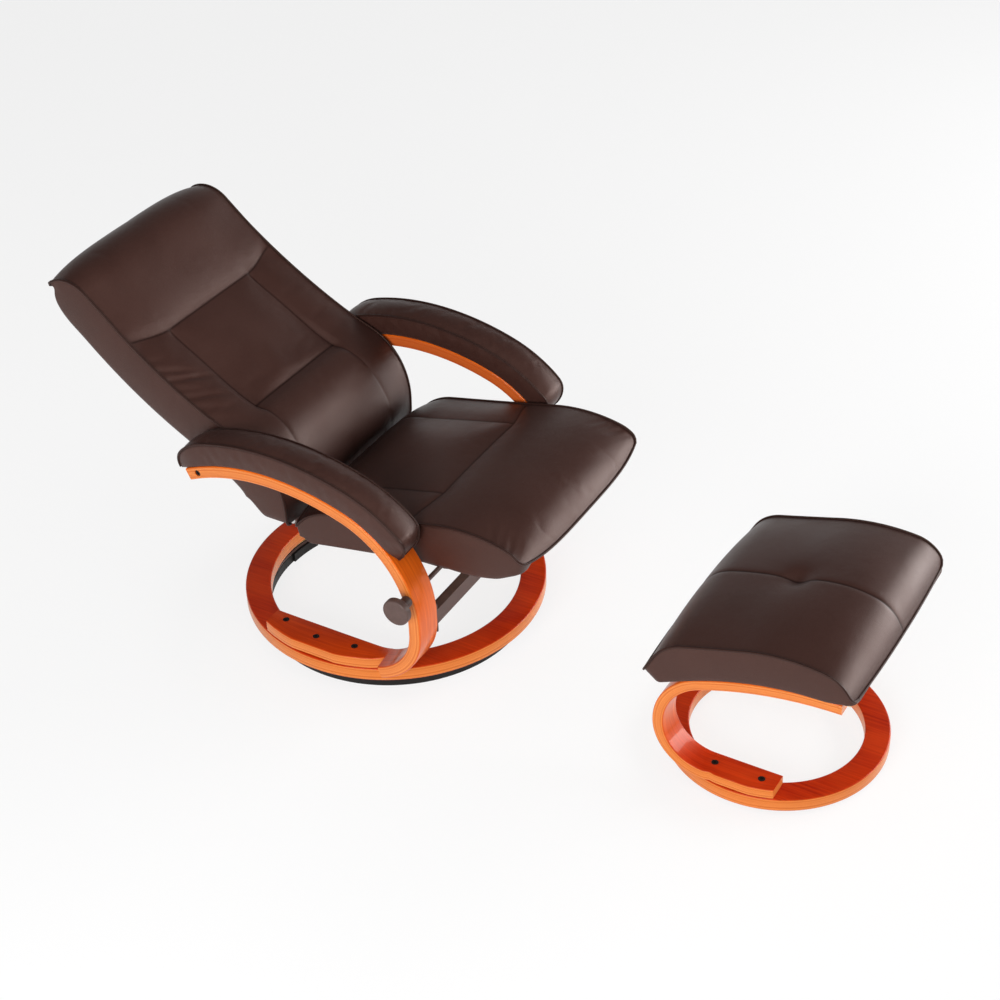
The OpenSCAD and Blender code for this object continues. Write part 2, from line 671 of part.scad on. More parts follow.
// Lugs on the inner faces of the side rails carry the seat hinge
module lug_screw_spots() {
    for (d = lug_screw_ds) let (p = off(back_at(d), rail_mid)) translate([0, p[0], p[1]]) children();
}
lug_boss_r = pin_r * 2.2;
lug_under = 3;       // how far below the back cushion a lug turns forward
lug_taper = 12;
module back_lugs() {
    a = off(back_at(lug_to), frame_front + eps);
    b = off(back_at(lug_to), frame_back - eps);
    c = off(back_at(frame_from), frame_back - eps);
    d = off(back_at(frame_from), frame_front + eps);
    color(steel) both_sides() difference() {
        slab(lug_x, rail_in) union() {
            polygon([a, b, c, [c[0] - lug_taper, back_start[1] - lug_under],
                     hinge + lug_boss_r * [0.5, -0.8], hinge + lug_boss_r * [-0.5, 0.8],
                     [d[0] - lug_taper / 2, back_start[1] - lug_under], d]);
            translate(hinge) circle(r = lug_boss_r);
        }
        at_x(lug_x - eps, hinge) cylinder(r = pin_r + fit, h = bracket_t + 2 * eps);
        lug_screw_spots() at_x(lug_x - eps, [0, 0]) cylinder(r = screw_r + fit, h = bracket_t + 2 * eps);
    }
}
module lug_screws() {
    color(black) both_sides() lug_screw_spots() {
        at_x(lug_x, [0, 0]) cylinder(r = screw_r, h = screw_len);
        at_x(lug_x - screw_r, [0, 0]) screw_head();
    }
}
module back_panel() {
    ds = concat([back_tail], between(marks(back_legs), back_tail, frame_to - eps), [frame_to - eps]);
    last = len(ds) - 1;
    color(leather) slab(-frame_half, frame_half) polygon(concat(
        [for (d = ds) off(back_at(d), back_foam + back_frame_t + seat_gap)],
        [for (i = [0:last]) off(back_at(ds[last - i]), back_depth(ds[last - i]))]));
}
head_tip = 20;       // depth of the head roll's upper edge
back_steps = [8, 5, 4, 6];
back_ds = concat(
    [for (i = [0:back_steps[0]]) panel_seam * i / back_steps[0]],
    [for (i = [1:back_steps[1]]) mix(panel_seam, head_seam, i / back_steps[1])],
    [for (i = [1:back_steps[2]]) mix(head_seam, frame_to, i / back_steps[2])],
    [for (i = [1:back_steps[3]]) mix(frame_to, back_total, i / back_steps[3])]);
low_crown_share = 0.15;
panel_share = 0.56;
function back_rise(d) = back_crown * mix(low_crown_share, 1, min(1, pow(5 * d / back_total, 2)));
function back_lift(v, d) = back_rise(d) * (1 - pow(abs(v), 3))
    + (d == head_seam || (d == panel_seam && abs(v) <= panel_share) ? -seam_depth : 0)
    + (d < head_seam && abs(v) == panel_share ? -seam_depth : 0);
back_draw = 5;       // how far the sides pull in between the corners
function back_section(d) = let (
        top = off(back_at(d), 0),
        over = (d - frame_to) / (back_total - frame_to),
        bottom = over <= 0 ? off(back_at(d), back_depth(d))
            : mix(off(back_at(frame_to), back_depth(frame_to)), off(back_at(back_total), head_tip), over),
        foot = off(back_at(d), min(back_foam - eps, back_depth(d) - back_foam / 6)),
        half = back_half - back_draw * sin(180 * d / back_total),
        lifts = [for (v = top_shares) back_lift(v, d)]
    ) [outer_chain(top, bottom, half, eps, lifts),
       over <= 0 ? pocket_chain(bottom, foot, back_inner) : flat_chain(bottom, half - eps)];
module back_cushion() {
    color(leather) difference() {
        loft([for (d = back_ds) back_section(d)]);
        both_sides() at_x(back_inner - eps, pivot) cylinder(r = spacer_r + head_gap, h = skirt_t + 3 * eps);
    }
}

// Seat
board_from = seat_start[0] + 1.1 * seat_edge_r;
bracket_out = lug_x - seat_gap;
bracket_in = bracket_out - bracket_t;
slot_r = rod_r + head_gap;
slot_wall = 9;
slot_steps = 6;
slot_path = [for (i = [0:slot_steps]) rod_in_seat(recline_range * i / slot_steps)];
slot_end = slot_path[slot_steps];
function slot_side(i, r) = let (
        a = slot_path[max(0, i - 1)],
        b = slot_path[min(slot_steps, i + 1)],
        along = unit(b - a)
    ) slot_path[i] + r * [along[1], -along[0]];
bracket_screw_ys = [for (t = [0.12, 0.5, 0.88]) mix(slot_end[0], seat_base[0] - slot_r, t)];
module on_base(y) {
    translate([0, y, base_z(y)]) rotate([-seat_slope, 0, 0]) children();
}
bracket_depth = lug_boss_r * 2.4;  // depth of a seat bracket behind its slot
pin_drop = lug_boss_r * 1.45;      // depth of its rear arm
module seat_brackets() {
    front = slot_end[0] - slot_r - slot_wall;
    rear = seat_base[0];
    low = slot_path[0] + [slot_r + slot_wall, -slot_r - slot_wall];
    color(steel) both_sides() {
        difference() {
            slab(bracket_in, bracket_out) union() {
                polygon([[front, base_z(front)], [rear, base_z(rear)], hinge, hinge + [0, -pin_drop + eps],
                         [rear, hinge[1] - pin_drop],
                         [mix(rear, low[0], 0.5), base_z(low[0]) - 2 * bracket_depth],
                         low, slot_path[0] + [0, -slot_r - slot_wall],
                         slot_end + [-slot_r, -slot_r - slot_wall],
                         slot_end + [-slot_r - slot_wall, -slot_r]]);
                translate(hinge) circle(r = lug_boss_r);
            }
            slab(bracket_in - eps, bracket_out + eps) polygon(concat(
                [for (i = [0:slot_steps]) slot_side(i, slot_r)],
                [for (i = [0:slot_steps]) slot_side(slot_steps - i, -slot_r)]));
            for (p = [slot_path[0], slot_end]) at_x(bracket_in - eps, p)
                cylinder(r = slot_r, h = bracket_t + 2 * eps);
            at_x(bracket_in - eps, hinge) cylinder(r = pin_r + fit, h = bracket_t + 2 * eps);
        }
        difference() {
            slab(bracket_in - flange_w, bracket_in + eps) polygon([
                [front, base_z(front)], [rear, base_z(rear)],
                [rear, base_z(rear) - bracket_t], [front, base_z(front) - bracket_t]]);
            for (y = bracket_screw_ys) on_base(y)
                translate([bracket_in - flange_w / 2, 0, -2 * bracket_t])
                    cylinder(r = screw_r + fit, h = 3 * bracket_t);
        }
    }
}
// A flat bar ties the two brackets together under the hinge
tie_w = lug_boss_r * 3.8;
tie_drop = pin_r + 4 * eps;
module seat_tie() {
    color(steel) slab(-bracket_in, bracket_in)
        translate(hinge - [tie_w - lug_boss_r / 2, tie_drop + bracket_t]) square([tie_w, bracket_t]);
}
board_screw = seat_board_t * 0.8;
module bracket_screws() {
    color(black) both_sides() for (y = bracket_screw_ys) on_base(y)
        translate([bracket_in - flange_w / 2, 0, 0]) {
            translate([0, 0, -bracket_t]) cylinder(r = screw_r, h = bracket_t + board_screw);
            translate([0, 0, -bracket_t - screw_r]) screw_head();
        }
}
module hinge_pins() {
    color("silver") both_sides() {
        at_x(bracket_in - seat_gap, hinge) cylinder(r = pin_r, h = rail_in + seat_gap + eps - bracket_in);
        at_x(bracket_in - seat_gap - 2 * eps, hinge) cylinder(r = pin_r + 3 * eps, h = 2 * eps);
        at_x(rail_in + seat_gap, hinge) cylinder(r = pin_r + 3 * eps, h = 2 * eps);
    }
}
board_in = seat_half * 0.05;   // the board is this much narrower than the cushion on each side
module seat_board() {
    rear = seat_base[0];
    half = seat_half - board_in;
    color(pale) difference() {
        slab(-half, half) polygon([
            [board_from, base_z(board_from)], [rear, base_z(rear)],
            [rear, base_z(rear) + seat_board_t], [board_from, base_z(board_from) + seat_board_t]]);
        both_sides() for (y = bracket_screw_ys) on_base(y) translate([bracket_in - flange_w / 2, 0, -eps])
            cylinder(r = screw_r + fit, h = board_screw + 2 * eps);
    }
}
seat_steps = 20;
seat_front_in = 4;
seat_draw = 5;
seat_seam_share = 0.45;
function seat_rise(t) = seat_crown * sqrt(sin(180 * mix(0.03, 0.97, t)));
module seat_cushion() {
    y0 = seat_start[0] + seat_front_in;
    y1 = seat_rear[0] - seat_front_in;
    color(leather) loft([for (i = [0:seat_steps]) let (
            t = i / seat_steps,
            y = mix(y0, y1, t),
            top = off(walk(seat_start, seat_legs, seat_total * t), 0),
            bottom = [y, base_z(y) + seat_board_t + seat_gap],
            half = seat_half - seat_draw * sin(180 * t),
            lifts = [for (v = top_shares) seat_rise(t) * (1 - pow(abs(v), 3))
                - (i == round(seat_seam_share * seat_steps) ? seam_depth * (1 - abs(v)) : 0)]
        ) [outer_chain(top, bottom, half, eps, lifts), flat_chain(bottom, half - board_in)]]);
}

// Footstool
module stool_place() {
    translate([-stool_aside, -stool_away, 0]) rotate(180) children();
}
stool_bolt_r = stool_r - 0.59 * stool_ring_w;
stool_bolt_angle = 14.5;
module stool_bolt_spots() {
    both_sides() for (a = [-1, 1]) rotate(a * stool_bolt_angle) translate([stool_bolt_r, 0, 0]) children();
}
stool_insert_len = insert_len;
module stool_ring() {
    color(wood) stool_place() difference() {
        translate([0, 0, stool_glide_h]) tube(stool_r, stool_r - stool_ring_w, stool_ring_t);
        stool_bolt_spots() translate([0, 0, stool_ring_top - stool_insert_len])
            cylinder(r = insert_r + fit, h = stool_insert_len + eps);
    }
}
stool_glide_count = 6;
module stool_glides() {
    color("#5d4a42") stool_place() around(stool_glide_count, 15)
        translate([stool_r - stool_ring_w / 2, 0, 0])
            cylinder(r1 = stool_glide_r, r2 = 0.8 * stool_glide_r, h = stool_glide_h);
}
board_screw_ds = [0.25, 0.6, 0.9];
function stool_at(d) = walk(stool_start, stool_legs, d);
module stool_screw_spots() {
    both_sides() for (t = board_screw_ds) let (s = stool_at(mix(stool_slope_at, stool_total, t)))
        translate([stool_in + stool_strip_w / 2, s[0], s[1]]) rotate([s[2], 0, 0]) children();
}
module stool_strip() {
    color(wood) stool_place() difference() {
        slab(stool_in, stool_out)
            polygon(strip_outline(stool_start, stool_legs, 0, stool_total, 0, stool_strip_t));
        translate([0, -stool_foot_fore - stool_bend_r, stool_ring_top - eps])
            linear_extrude(stool_strip_t + 2 * eps) difference() {
                square([stool_out + eps, 2 * (stool_foot_fore + stool_bend_r)]);
                translate([0, stool_foot_fore + stool_bend_r]) circle(r = stool_r - arm_trim);
                square([stool_out + eps, stool_foot_fore + stool_bend_r - stool_foot_fore / 2]);
            }
        stool_bolt_spots() {
            translate([0, 0, stool_ring_top + stool_strip_t - bolt_head_t])
                cylinder(r = bolt_head_r + head_gap, h = stool_strip_t);
            translate([0, 0, stool_ring_top - eps]) cylinder(r = bolt_r + fit, h = stool_strip_t);
        }
        stool_screw_spots() translate([0, 0, -stool_strip_t - eps])
            cylinder(r = screw_r + fit, h = stool_strip_t + 2 * eps);
    }
}
module stool_left_strip() { mirror_stool() stool_strip(); }
module stool_right_strip() { stool_strip(); }
module mirror_stool() {
    translate([-2 * stool_aside, 0, 0]) mirror([1, 0, 0]) children();
}
module stool_bolts() {
    color(steel) stool_place() stool_bolt_spots() {
        translate([0, 0, stool_ring_top + stool_strip_t - bolt_head_t]) difference() {
            cylinder(r = bolt_head_r, h = bolt_head_t);
            translate([0, 0, bolt_head_t / 2]) cylinder(r = bolt_r, h = bolt_head_t, $fn = 6);
        }
        translate([0, 0, stool_ring_top - stool_insert_len])
            cylinder(r = bolt_r, h = stool_strip_t + stool_insert_len - bolt_head_t);
    }
}
module stool_inserts() {
    color(brass) stool_place() stool_bolt_spots() translate([0, 0, stool_ring_top - stool_insert_len])
        tube(insert_r, bolt_r + fit, stool_insert_len);
}
stool_board_in = 14;
stool_board_back = stool_rear_r;         // how far the board runs down behind the strips' top
stool_board_fore = stool_strip_t * 1.22;   // and past the strips' front ends
stool_screw_in = stool_board_t * 0.7;
stool_top_legs = [run(stool_board_back), stool_legs[3], run(2 * stool_board_fore)];
stool_top_start = let (s = stool_at(stool_slope_at))
    [s[0] - stool_board_back * cos(s[2]), s[1] - stool_board_back * sin(s[2]), s[2]];
stool_top_total = stool_board_back + stool_legs[3][0] + stool_board_fore;
module stool_board() {
    half = stool_half - stool_board_in;
    color(pale) stool_place() difference() {
        slab(-half, half) polygon(strip_outline(stool_top_start, stool_top_legs, stool_board_in,
            stool_top_total - stool_board_in, -stool_board_t, 0));
        stool_screw_spots() translate([0, 0, -eps])
            cylinder(r = screw_r + fit, h = stool_screw_in + 2 * eps);
    }
}
module stool_screws() {
    color(black) stool_place() stool_screw_spots() {
        translate([0, 0, -stool_strip_t - head_gap])
            cylinder(r = screw_r, h = head_gap + stool_strip_t + stool_screw_in);
        translate([0, 0, -stool_strip_t - head_gap - screw_r]) screw_head();
    }
}
stool_steps = 18;
stool_draw = 6;
stool_cushion_legs = [run(stool_rear), bend(stool_rear_r, 46), run(stool_flat), bend(stool_fall_r, 29),
                      bend(stool_edge_r, 52)];
stool_cushion_start = let (p = off(stool_top_start, -stool_board_t))
    [p[0] - stool_low * 0.44, p[1] + stool_low, 62];
tuft_share = 0.16;
module stool_cushion() {
    low = stool_board_t + seat_gap;
    color(leather) stool_place() loft([for (i = [0:stool_steps]) let (
            t = crowd(i / stool_steps),
            s = walk(stool_cushion_start, stool_cushion_legs, total(stool_cushion_legs) * t),
            bottom = off(walk(stool_top_start, stool_top_legs, stool_top_total * t), -low),
            half = stool_half - stool_draw * sin(180 * t),
            crown = stool_crown * sqrt(sin(180 * mix(0.04, 0.96, t))),
            groove = seam_depth * sin(180 * t) + tuft_depth * max(0, 1 - abs(t - 0.5) / tuft_share),
            lifts = [for (v = top_shares) crown * (1 - pow(abs(v), 3)) - (v == 0 ? groove : 0)]
        ) [outer_chain(off(s, 0), bottom, half, 2 * eps, lifts),
           flat_chain(bottom, half - stool_board_in)]]);
}

floor_strip();
floor_ring();
ring_clip();
lower_race();
bearing_balls();
ball_cage();
upper_race();
wooden_ring();
right_arm();
left_arm();
foot_bolts();
foot_inserts();
right_arm_pad();
left_arm_pad();
stretcher();
stretcher_screws();
cross_rod();
rod_washers();
rod_cap_nut();
pivot_bolts();
pivot_spacers();
pivot_inserts();
back_side_rails();
back_cross_rails();
back_straps();
back_cushion();
back_panel();
back_lugs();
lug_screws();
hinge_pins();
seat_brackets();
seat_tie();
bracket_screws();
seat_board();
seat_cushion();
clamp_knob();
knob_insert();
stool_ring();
stool_glides();
stool_right_strip();
stool_left_strip();
stool_bolts();
stool_inserts();
stool_board();
stool_screws();
stool_cushion();
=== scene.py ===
# %% [markdown]
# # A reclining chair on a swivel ring, with its footstool
# The chair is a bentwood frame of laminated cherry, with leather cushions. The measured
# CAD parts already stand in the right places. This lesson opens them, dresses the wood and
# the steel, and sews a leather piece over each plain cushion. Lengths are in metres, X runs
# to the sitter's left, Y to the rear and Z up.
# %% Open the measured parts
from collections import namedtuple
from math import atan2, ceil, cos, degrees, exp, hypot, pi, radians, sin, sqrt

import bmesh
import bpy
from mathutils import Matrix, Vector
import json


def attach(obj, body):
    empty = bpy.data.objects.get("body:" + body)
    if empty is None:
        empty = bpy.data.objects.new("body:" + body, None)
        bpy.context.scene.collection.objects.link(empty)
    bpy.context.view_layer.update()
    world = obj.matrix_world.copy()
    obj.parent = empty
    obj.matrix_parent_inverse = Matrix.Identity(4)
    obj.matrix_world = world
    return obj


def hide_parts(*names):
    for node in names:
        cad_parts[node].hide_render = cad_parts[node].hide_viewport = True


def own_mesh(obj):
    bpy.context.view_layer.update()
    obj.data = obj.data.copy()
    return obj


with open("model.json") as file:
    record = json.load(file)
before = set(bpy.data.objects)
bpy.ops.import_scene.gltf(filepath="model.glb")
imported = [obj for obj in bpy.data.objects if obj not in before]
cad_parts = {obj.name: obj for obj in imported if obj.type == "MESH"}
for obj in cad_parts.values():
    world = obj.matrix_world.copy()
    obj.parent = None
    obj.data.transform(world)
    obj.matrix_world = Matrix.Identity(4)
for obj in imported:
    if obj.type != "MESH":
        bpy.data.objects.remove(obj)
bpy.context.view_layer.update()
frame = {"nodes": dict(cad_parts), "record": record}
scene = bpy.context.scene
slots = {part["node"]: part["material_slot"] for part in frame["record"]["subparts"]}

# %% [markdown]
# ## The picture
# The photograph looks down on the chair from the sitter's front right. The camera's place,
# its aim and a lens of 71 mm were worked out from the photograph. The three columns of its
# matrix are the picture's right, its up, and the way back to the camera.
# %% Stand the camera
def placed(name, data):
    """A new object that holds this data, linked into the scene."""
    made = bpy.data.objects.new(name, data)
    scene.collection.objects.link(made)
    return made


camera = placed("camera", bpy.data.cameras.new("camera"))
scene.camera = camera
camera.data.lens = 71.4
camera.data.sensor_width = 36
camera.data.clip_end = 60
camera_down = radians(35.46)
camera_roll = radians(-2.01)
ahead_x, ahead_y = 0.8572, 0.5150  # the level direction in which it looks
level_right = Vector((ahead_y, -ahead_x, 0))
forward = Vector((ahead_x * cos(camera_down), ahead_y * cos(camera_down), -sin(camera_down)))
level_up = Vector((ahead_x * sin(camera_down), ahead_y * sin(camera_down), cos(camera_down)))
right = cos(camera_roll) * level_right + sin(camera_roll) * level_up
up = cos(camera_roll) * level_up - sin(camera_roll) * level_right
for row in range(3):
    for column, axis in enumerate((right, up, -forward)):
        camera.matrix_world[row][column] = axis[row]
camera.matrix_world.translation = Vector((-2.8497, -1.9848, 2.7245))
scene.view_settings.view_transform = "Standard"
print("the camera is", round(camera.matrix_world.translation.length, 2), "m from the swivel axis")

# %% [markdown]
# ## The studio
# The photograph is lit from the camera's side by large soft lamps: the rolls and boxings that
# face the camera are the lightest, and the tops are darker. One lamp stands to the camera's
# left and one in front, both fairly low. A weaker one hangs overhead, and a pale world, which
# gets darker towards its top, fills the shadows.
# %% Light the studio
world = bpy.data.worlds.new("studio")
scene.world = world
world.use_nodes = True
world.node_tree.nodes["Background"].inputs["Color"].default_value = (1, 1, 1, 1)
sky = world.node_tree
towards = sky.nodes.new("ShaderNodeTexCoord").outputs["Generated"]
height = sky.nodes.new("ShaderNodeSeparateXYZ")
fade = sky.nodes.new("ShaderNodeMapRange")
for socket, value in (("From Min", 0.15), ("From Max", 0.75), ("To Min", 0.30), ("To Max", 0.14)):
    fade.inputs[socket].default_value = value
sky.links.new(towards, height.inputs[0])
sky.links.new(height.outputs["Z"], fade.inputs["Value"])
sky.links.new(fade.outputs["Result"], sky.nodes["Background"].inputs["Strength"])


def soft_lamp(name, place, aim, size, watts):
    lamp = placed(name, bpy.data.lights.new(name, "AREA"))
    lamp.data.shape = "RECTANGLE"
    lamp.data.size, lamp.data.size_y = size
    lamp.data.energy = watts
    lamp.visible_camera = False
    lamp.location = place
    lamp.rotation_euler = (Vector(aim) - Vector(place)).to_track_quat("-Z", "Y").to_euler()


soft_lamp("camera side lamp", (-3.6, -1.0, 1.7), (0, -0.3, 0.4), (2.6, 1.8), 145)
soft_lamp("front lamp", (2.7, -3.2, 1.2), (0, -0.5, 0.3), (3.8, 2.0), 185)
soft_lamp("overhead lamp", (-0.8, -0.8, 3.4), (0, -0.3, 0.3), (2.4, 2.4), 19)

# %% [markdown]
# ## Nodes in few words
# Every finish below is a small tree of shader nodes. These helpers add a node, set its plain
# values and join its inputs in one line, so that each material reads as a recipe.
# %% Helpers for materials
def material(name):
    made = bpy.data.materials.new(name)
    made.use_nodes = True
    return made


def give(mat, socket, value):
    """Joins another node's output to a socket, or sets a plain value; a colour gets its alpha."""
    if isinstance(value, bpy.types.NodeSocket):
        mat.node_tree.links.new(value, socket)
    else:
        socket.default_value = (*value, 1) if socket.type == "RGBA" else value


def add(mat, kind, inputs=(), **settings):
    node = mat.node_tree.nodes.new("ShaderNode" + kind)
    for key, value in settings.items():
        setattr(node, key, value)
    for key, value in dict(inputs).items():
        give(mat, node.inputs[key], value)
    return node


def surface(mat, **inputs):
    shader = mat.node_tree.nodes["Principled BSDF"]
    for key, value in inputs.items():
        give(mat, shader.inputs[key.replace("_", " ")], value)


def noise(mat, where, scale, detail=2.0, roughness=0.5):
    return add(mat, "TexNoise", {"Vector": where, "Scale": scale, "Detail": detail,
                                 "Roughness": roughness}).outputs["Fac"]


def stretch(mat, where, scale):
    return add(mat, "Mapping", {"Vector": where, "Scale": scale}).outputs["Vector"]


def ramp(mat, value, low, high, dark=0.0, light=1.0):
    return add(mat, "MapRange", {"Value": value, "From Min": low, "From Max": high,
                                 "To Min": dark, "To Max": light}).outputs["Result"]


def math(mat, kind, a, b=0.0):
    return add(mat, "Math", {0: a, 1: b}, operation=kind).outputs[0]


def blended(mat, share, a, b):
    return add(mat, "Mix", {0: share, 6: a, 7: b}, data_type="RGBA").outputs[2]


def bumps(mat, height, distance, strength=1.0, after=None):
    inputs = {"Height": height, "Distance": distance, "Strength": strength}
    if after is not None:
        inputs["Normal"] = after
    return add(mat, "Bump", inputs).outputs["Normal"]


def here(mat):
    return add(mat, "TexCoord").outputs["Object"]


print("material helpers are ready")

# %% [markdown]
# ## The floor
# A plain pale sheet lies under everything and curves up far away. Its colour, and not extra
# light, makes the ground white: seen by the camera, or in a reflection, the sheet mixes a plain
# white with the light that falls on it, and so it still shows the shadow.
# %% Lay the floor
def mesh_from(bm, name):
    mesh = bpy.data.meshes.new(name)
    bm.to_mesh(mesh)
    bm.free()
    return mesh


full_turn = {"cent": (0, 0, 0), "axis": (0, 0, 1), "angle": 2 * pi, "use_merge": True}
sheet_curve = ((0, 0), (8.0, 0), (9.5, 0.3), (10.6, 1.2), (11.2, 3.4))  # distances and heights
sheet = bmesh.new()
outline = [sheet.verts.new((away, 0, rise)) for away, rise in sheet_curve]
profile = [sheet.edges.new(pair) for pair in zip(outline, outline[1:])]
bmesh.ops.spin(sheet, geom=outline + profile, steps=72, **full_turn)
bmesh.ops.remove_doubles(sheet, verts=sheet.verts, dist=1e-5)
floor = placed("floor", mesh_from(sheet, "floor"))
floor.data.shade_smooth()
floor_paint = material("pale floor")
surface(floor_paint, Base_Color=(0.93, 0.93, 0.93), Roughness=0.9, Specular_IOR_Level=0.0)
rays = add(floor_paint, "LightPath").outputs
seen = math(floor_paint, "MAXIMUM", rays["Is Camera Ray"], rays["Is Glossy Ray"])
seen = math(floor_paint, "MAXIMUM", seen, rays["Is Transmission Ray"])
white = add(floor_paint, "Emission", {"Color": (1, 1, 1), "Strength": 1.0}).outputs[0]
lit = floor_paint.node_tree.nodes["Principled BSDF"].outputs[0]
paper = add(floor_paint, "MixShader", {0: math(floor_paint, "MULTIPLY", seen, 0.80), 1: lit, 2: white})
give(floor_paint, floor_paint.node_tree.nodes["Material Output"].inputs["Surface"], paper.outputs[0])
floor.data.materials.append(floor_paint)
print("the floor lies at z =", floor.location.z)

# %% [markdown]
# ## Cherry-stained bentwood
# The frame is glued up from thin plies, bent in a press, stained red and lacquered. The
# broad faces show one ply, deep red with fine streaks. The edges show all the plies as pale
# lines that follow the bend. Each wooden piece therefore carries two maps: "ply" runs along
# the strip and through its thickness, and "grain" along the strip and across its width. The
# colour mixes the two finishes where the ply map says that the surface is an edge. Light and
# shade are painted in by height and side: the low, flat parts are painted deeper red as
# shade, the upright parts higher up lighter orange as light, and the edges on the left arm
# darker as shade.
# %% Cherry wood
wood = material("cherry lacquer")
ply = add(wood, "UVMap", uv_map="ply").outputs["UV"]
grain = add(wood, "UVMap", uv_map="grain").outputs["UV"]
depth = add(wood, "SeparateXYZ", {0: ply}).outputs["Y"]
streaks = noise(wood, stretch(wood, grain, (5.0, 190.0, 1.0)), 1.0, 5.0, 0.6)
pores = noise(wood, stretch(wood, grain, (28.0, 900.0, 1.0)), 1.0, 3.0, 0.7)
cloud = noise(wood, stretch(wood, grain, (5.0, 14.0, 1.0)), 1.0, 2.0, 0.5)
face = blended(wood, ramp(wood, streaks, 0.3, 0.7), (0.265, 0.0085, 0.0010), (0.49, 0.028, 0.0024))
face = blended(wood, ramp(wood, cloud, 0.35, 0.65, 0, 0.45), face, (0.64, 0.058, 0.006))
place = add(wood, "SeparateXYZ", {0: here(wood)}).outputs
# Painted light and shade by height: below 0.09 m the broad faces keep the deeper red, painted as shade, and
# towards 0.15 m they turn to the lighter orange of lit upright faces.
lit_upright = blended(wood, ramp(wood, streaks, 0.3, 0.7), (0.56, 0.075, 0.0035), (0.80, 0.15, 0.008))
face = blended(wood, ramp(wood, place["Z"], 0.090, 0.150), face, lit_upright)
face = blended(wood, ramp(wood, pores, 0.62, 0.78, 0, 0.5), face, (0.20, 0.007, 0.0010))
wobble = noise(wood, stretch(wood, ply, (9.0, 2.0, 1.0)), 1.0, 2.0)
sheets = math(wood, "ADD", math(wood, "MULTIPLY", depth, 15.0), math(wood, "MULTIPLY", wobble, 0.5))
sheet_tone = add(wood, "TexWhiteNoise", {"W": math(wood, "FLOOR", sheets)},
                 noise_dimensions="1D").outputs["Value"]
sheet_streaks = noise(wood, stretch(wood, ply, (14.0, 60.0, 1.0)), 1.0, 4.0, 0.6)
edge = blended(wood, sheet_tone, (0.56, 0.130, 0.018), (0.74, 0.245, 0.055))
edge = blended(wood, ramp(wood, sheet_streaks, 0.4, 0.75, 0, 0.5), edge, (0.44, 0.085, 0.012))
glue = math(wood, "PINGPONG", sheets, 0.5)
edge = blended(wood, ramp(wood, glue, 0.0, 0.12, 0.55, 0.0), edge, (0.33, 0.05, 0.006))
# Painted shade: the edges on the chair's left side, from x = 0.10 m on, are darkened to a deeper red.
edge = blended(wood, ramp(wood, place["X"], 0.10, 0.20, 0.0, 0.6), edge, (0.50, 0.055, 0.008))
inside = ramp(wood, math(wood, "PINGPONG", depth, 0.5), 0.035, 0.10)
surface(wood, Base_Color=blended(wood, inside, face, edge), Roughness=0.34,
        Coat_Weight=ramp(wood, place["Z"], 0.060, 0.110, 0.15, 0.35), Coat_Roughness=0.09,
        Specular_IOR_Level=0.25, Specular_Tint=(1, 0.45, 0.2), Normal=bumps(wood, streaks, 0.0002, 0.35))
print("cherry wood has", len(wood.node_tree.nodes), "nodes")

# %% [markdown]
# ## Leather
# The cushions are covered in a smooth dark brown leather with a fine pebbled grain. Small
# rounded cells give the pebbles, a slower noise gives the soft patches where the hide is a
# little lighter or duller. Shade is painted into the leather: a value on the mesh beside each
# seam, round the piping and where the back meets the seat darkens the colour there and dims
# the reflection. The sheen of the top coat is only moderate, so that highlights stay broad.
# %% Brown leather
leather = material("brown leather")
spot = here(leather)
pebbles = add(leather, "TexVoronoi", {"Vector": spot, "Scale": 620.0},
              feature="DISTANCE_TO_EDGE").outputs["Distance"]
patches = noise(leather, spot, 9.0, 3.0)
fine = noise(leather, spot, 260.0, 3.0, 0.6)
soft_folds = noise(leather, spot, 34.0, 3.0, 0.6)
hide = blended(leather, patches, (0.032, 0.0112, 0.0080), (0.046, 0.0172, 0.0128))
hide = blended(leather, ramp(leather, fine, 0.4, 0.75, 0, 0.35), hide, (0.056, 0.0225, 0.0170))
# Painted shade: where the mesh's shade value is high, the hide is darkened towards near black and its
# reflection is dimmed.
painted_shade = add(leather, "Attribute", attribute_name="painted_shade").outputs["Fac"]
hide = blended(leather, ramp(leather, painted_shade, 0.0, 1.0, 0.0, 0.8), hide, (0.007, 0.0030, 0.0024))
pebbled = bumps(leather, ramp(leather, pebbles, 0.0, 0.35), 0.00022, 0.5)
surface(leather, Base_Color=hide, Roughness=ramp(leather, patches, 0.3, 0.7, 0.37, 0.46),
        Specular_IOR_Level=ramp(leather, painted_shade, 0.0, 1.0, 0.40, 0.10), Specular_Tint=(1, 0.74, 0.66),
        Sheen_Weight=0.01, Sheen_Roughness=0.5, Normal=bumps(leather, soft_folds, 0.0009, 0.5, after=pebbled))
print("leather has", len(leather.node_tree.nodes), "nodes")

# %% [markdown]
# ## Steel, rubber, brass and raw wood
# The metal parts are small and mostly in shadow, so one recipe with other numbers serves all
# of them: a base colour with slow patches of wear, a roughness that follows them, and a very
# light bump. The raw timber inside the back and under the seat has its own streaked recipe.
# %% The plain finishes
def metal_paint(name, dark, light, roughness, metallic, grain_size=60.0, bump=0.0002, specular=0.5):
    mat = material(name)
    at = here(mat)
    wear = noise(mat, at, grain_size, 4.0, 0.6)
    speckle = noise(mat, at, grain_size * 14, 2.0)
    colour = blended(mat, ramp(mat, wear, 0.3, 0.7), dark, light)
    surface(mat, Base_Color=colour, Metallic=metallic, Specular_IOR_Level=specular,
            Roughness=ramp(mat, wear, 0.3, 0.7, roughness - 0.06, roughness + 0.06),
            Normal=bumps(mat, speckle, bump, 0.4))
    return mat


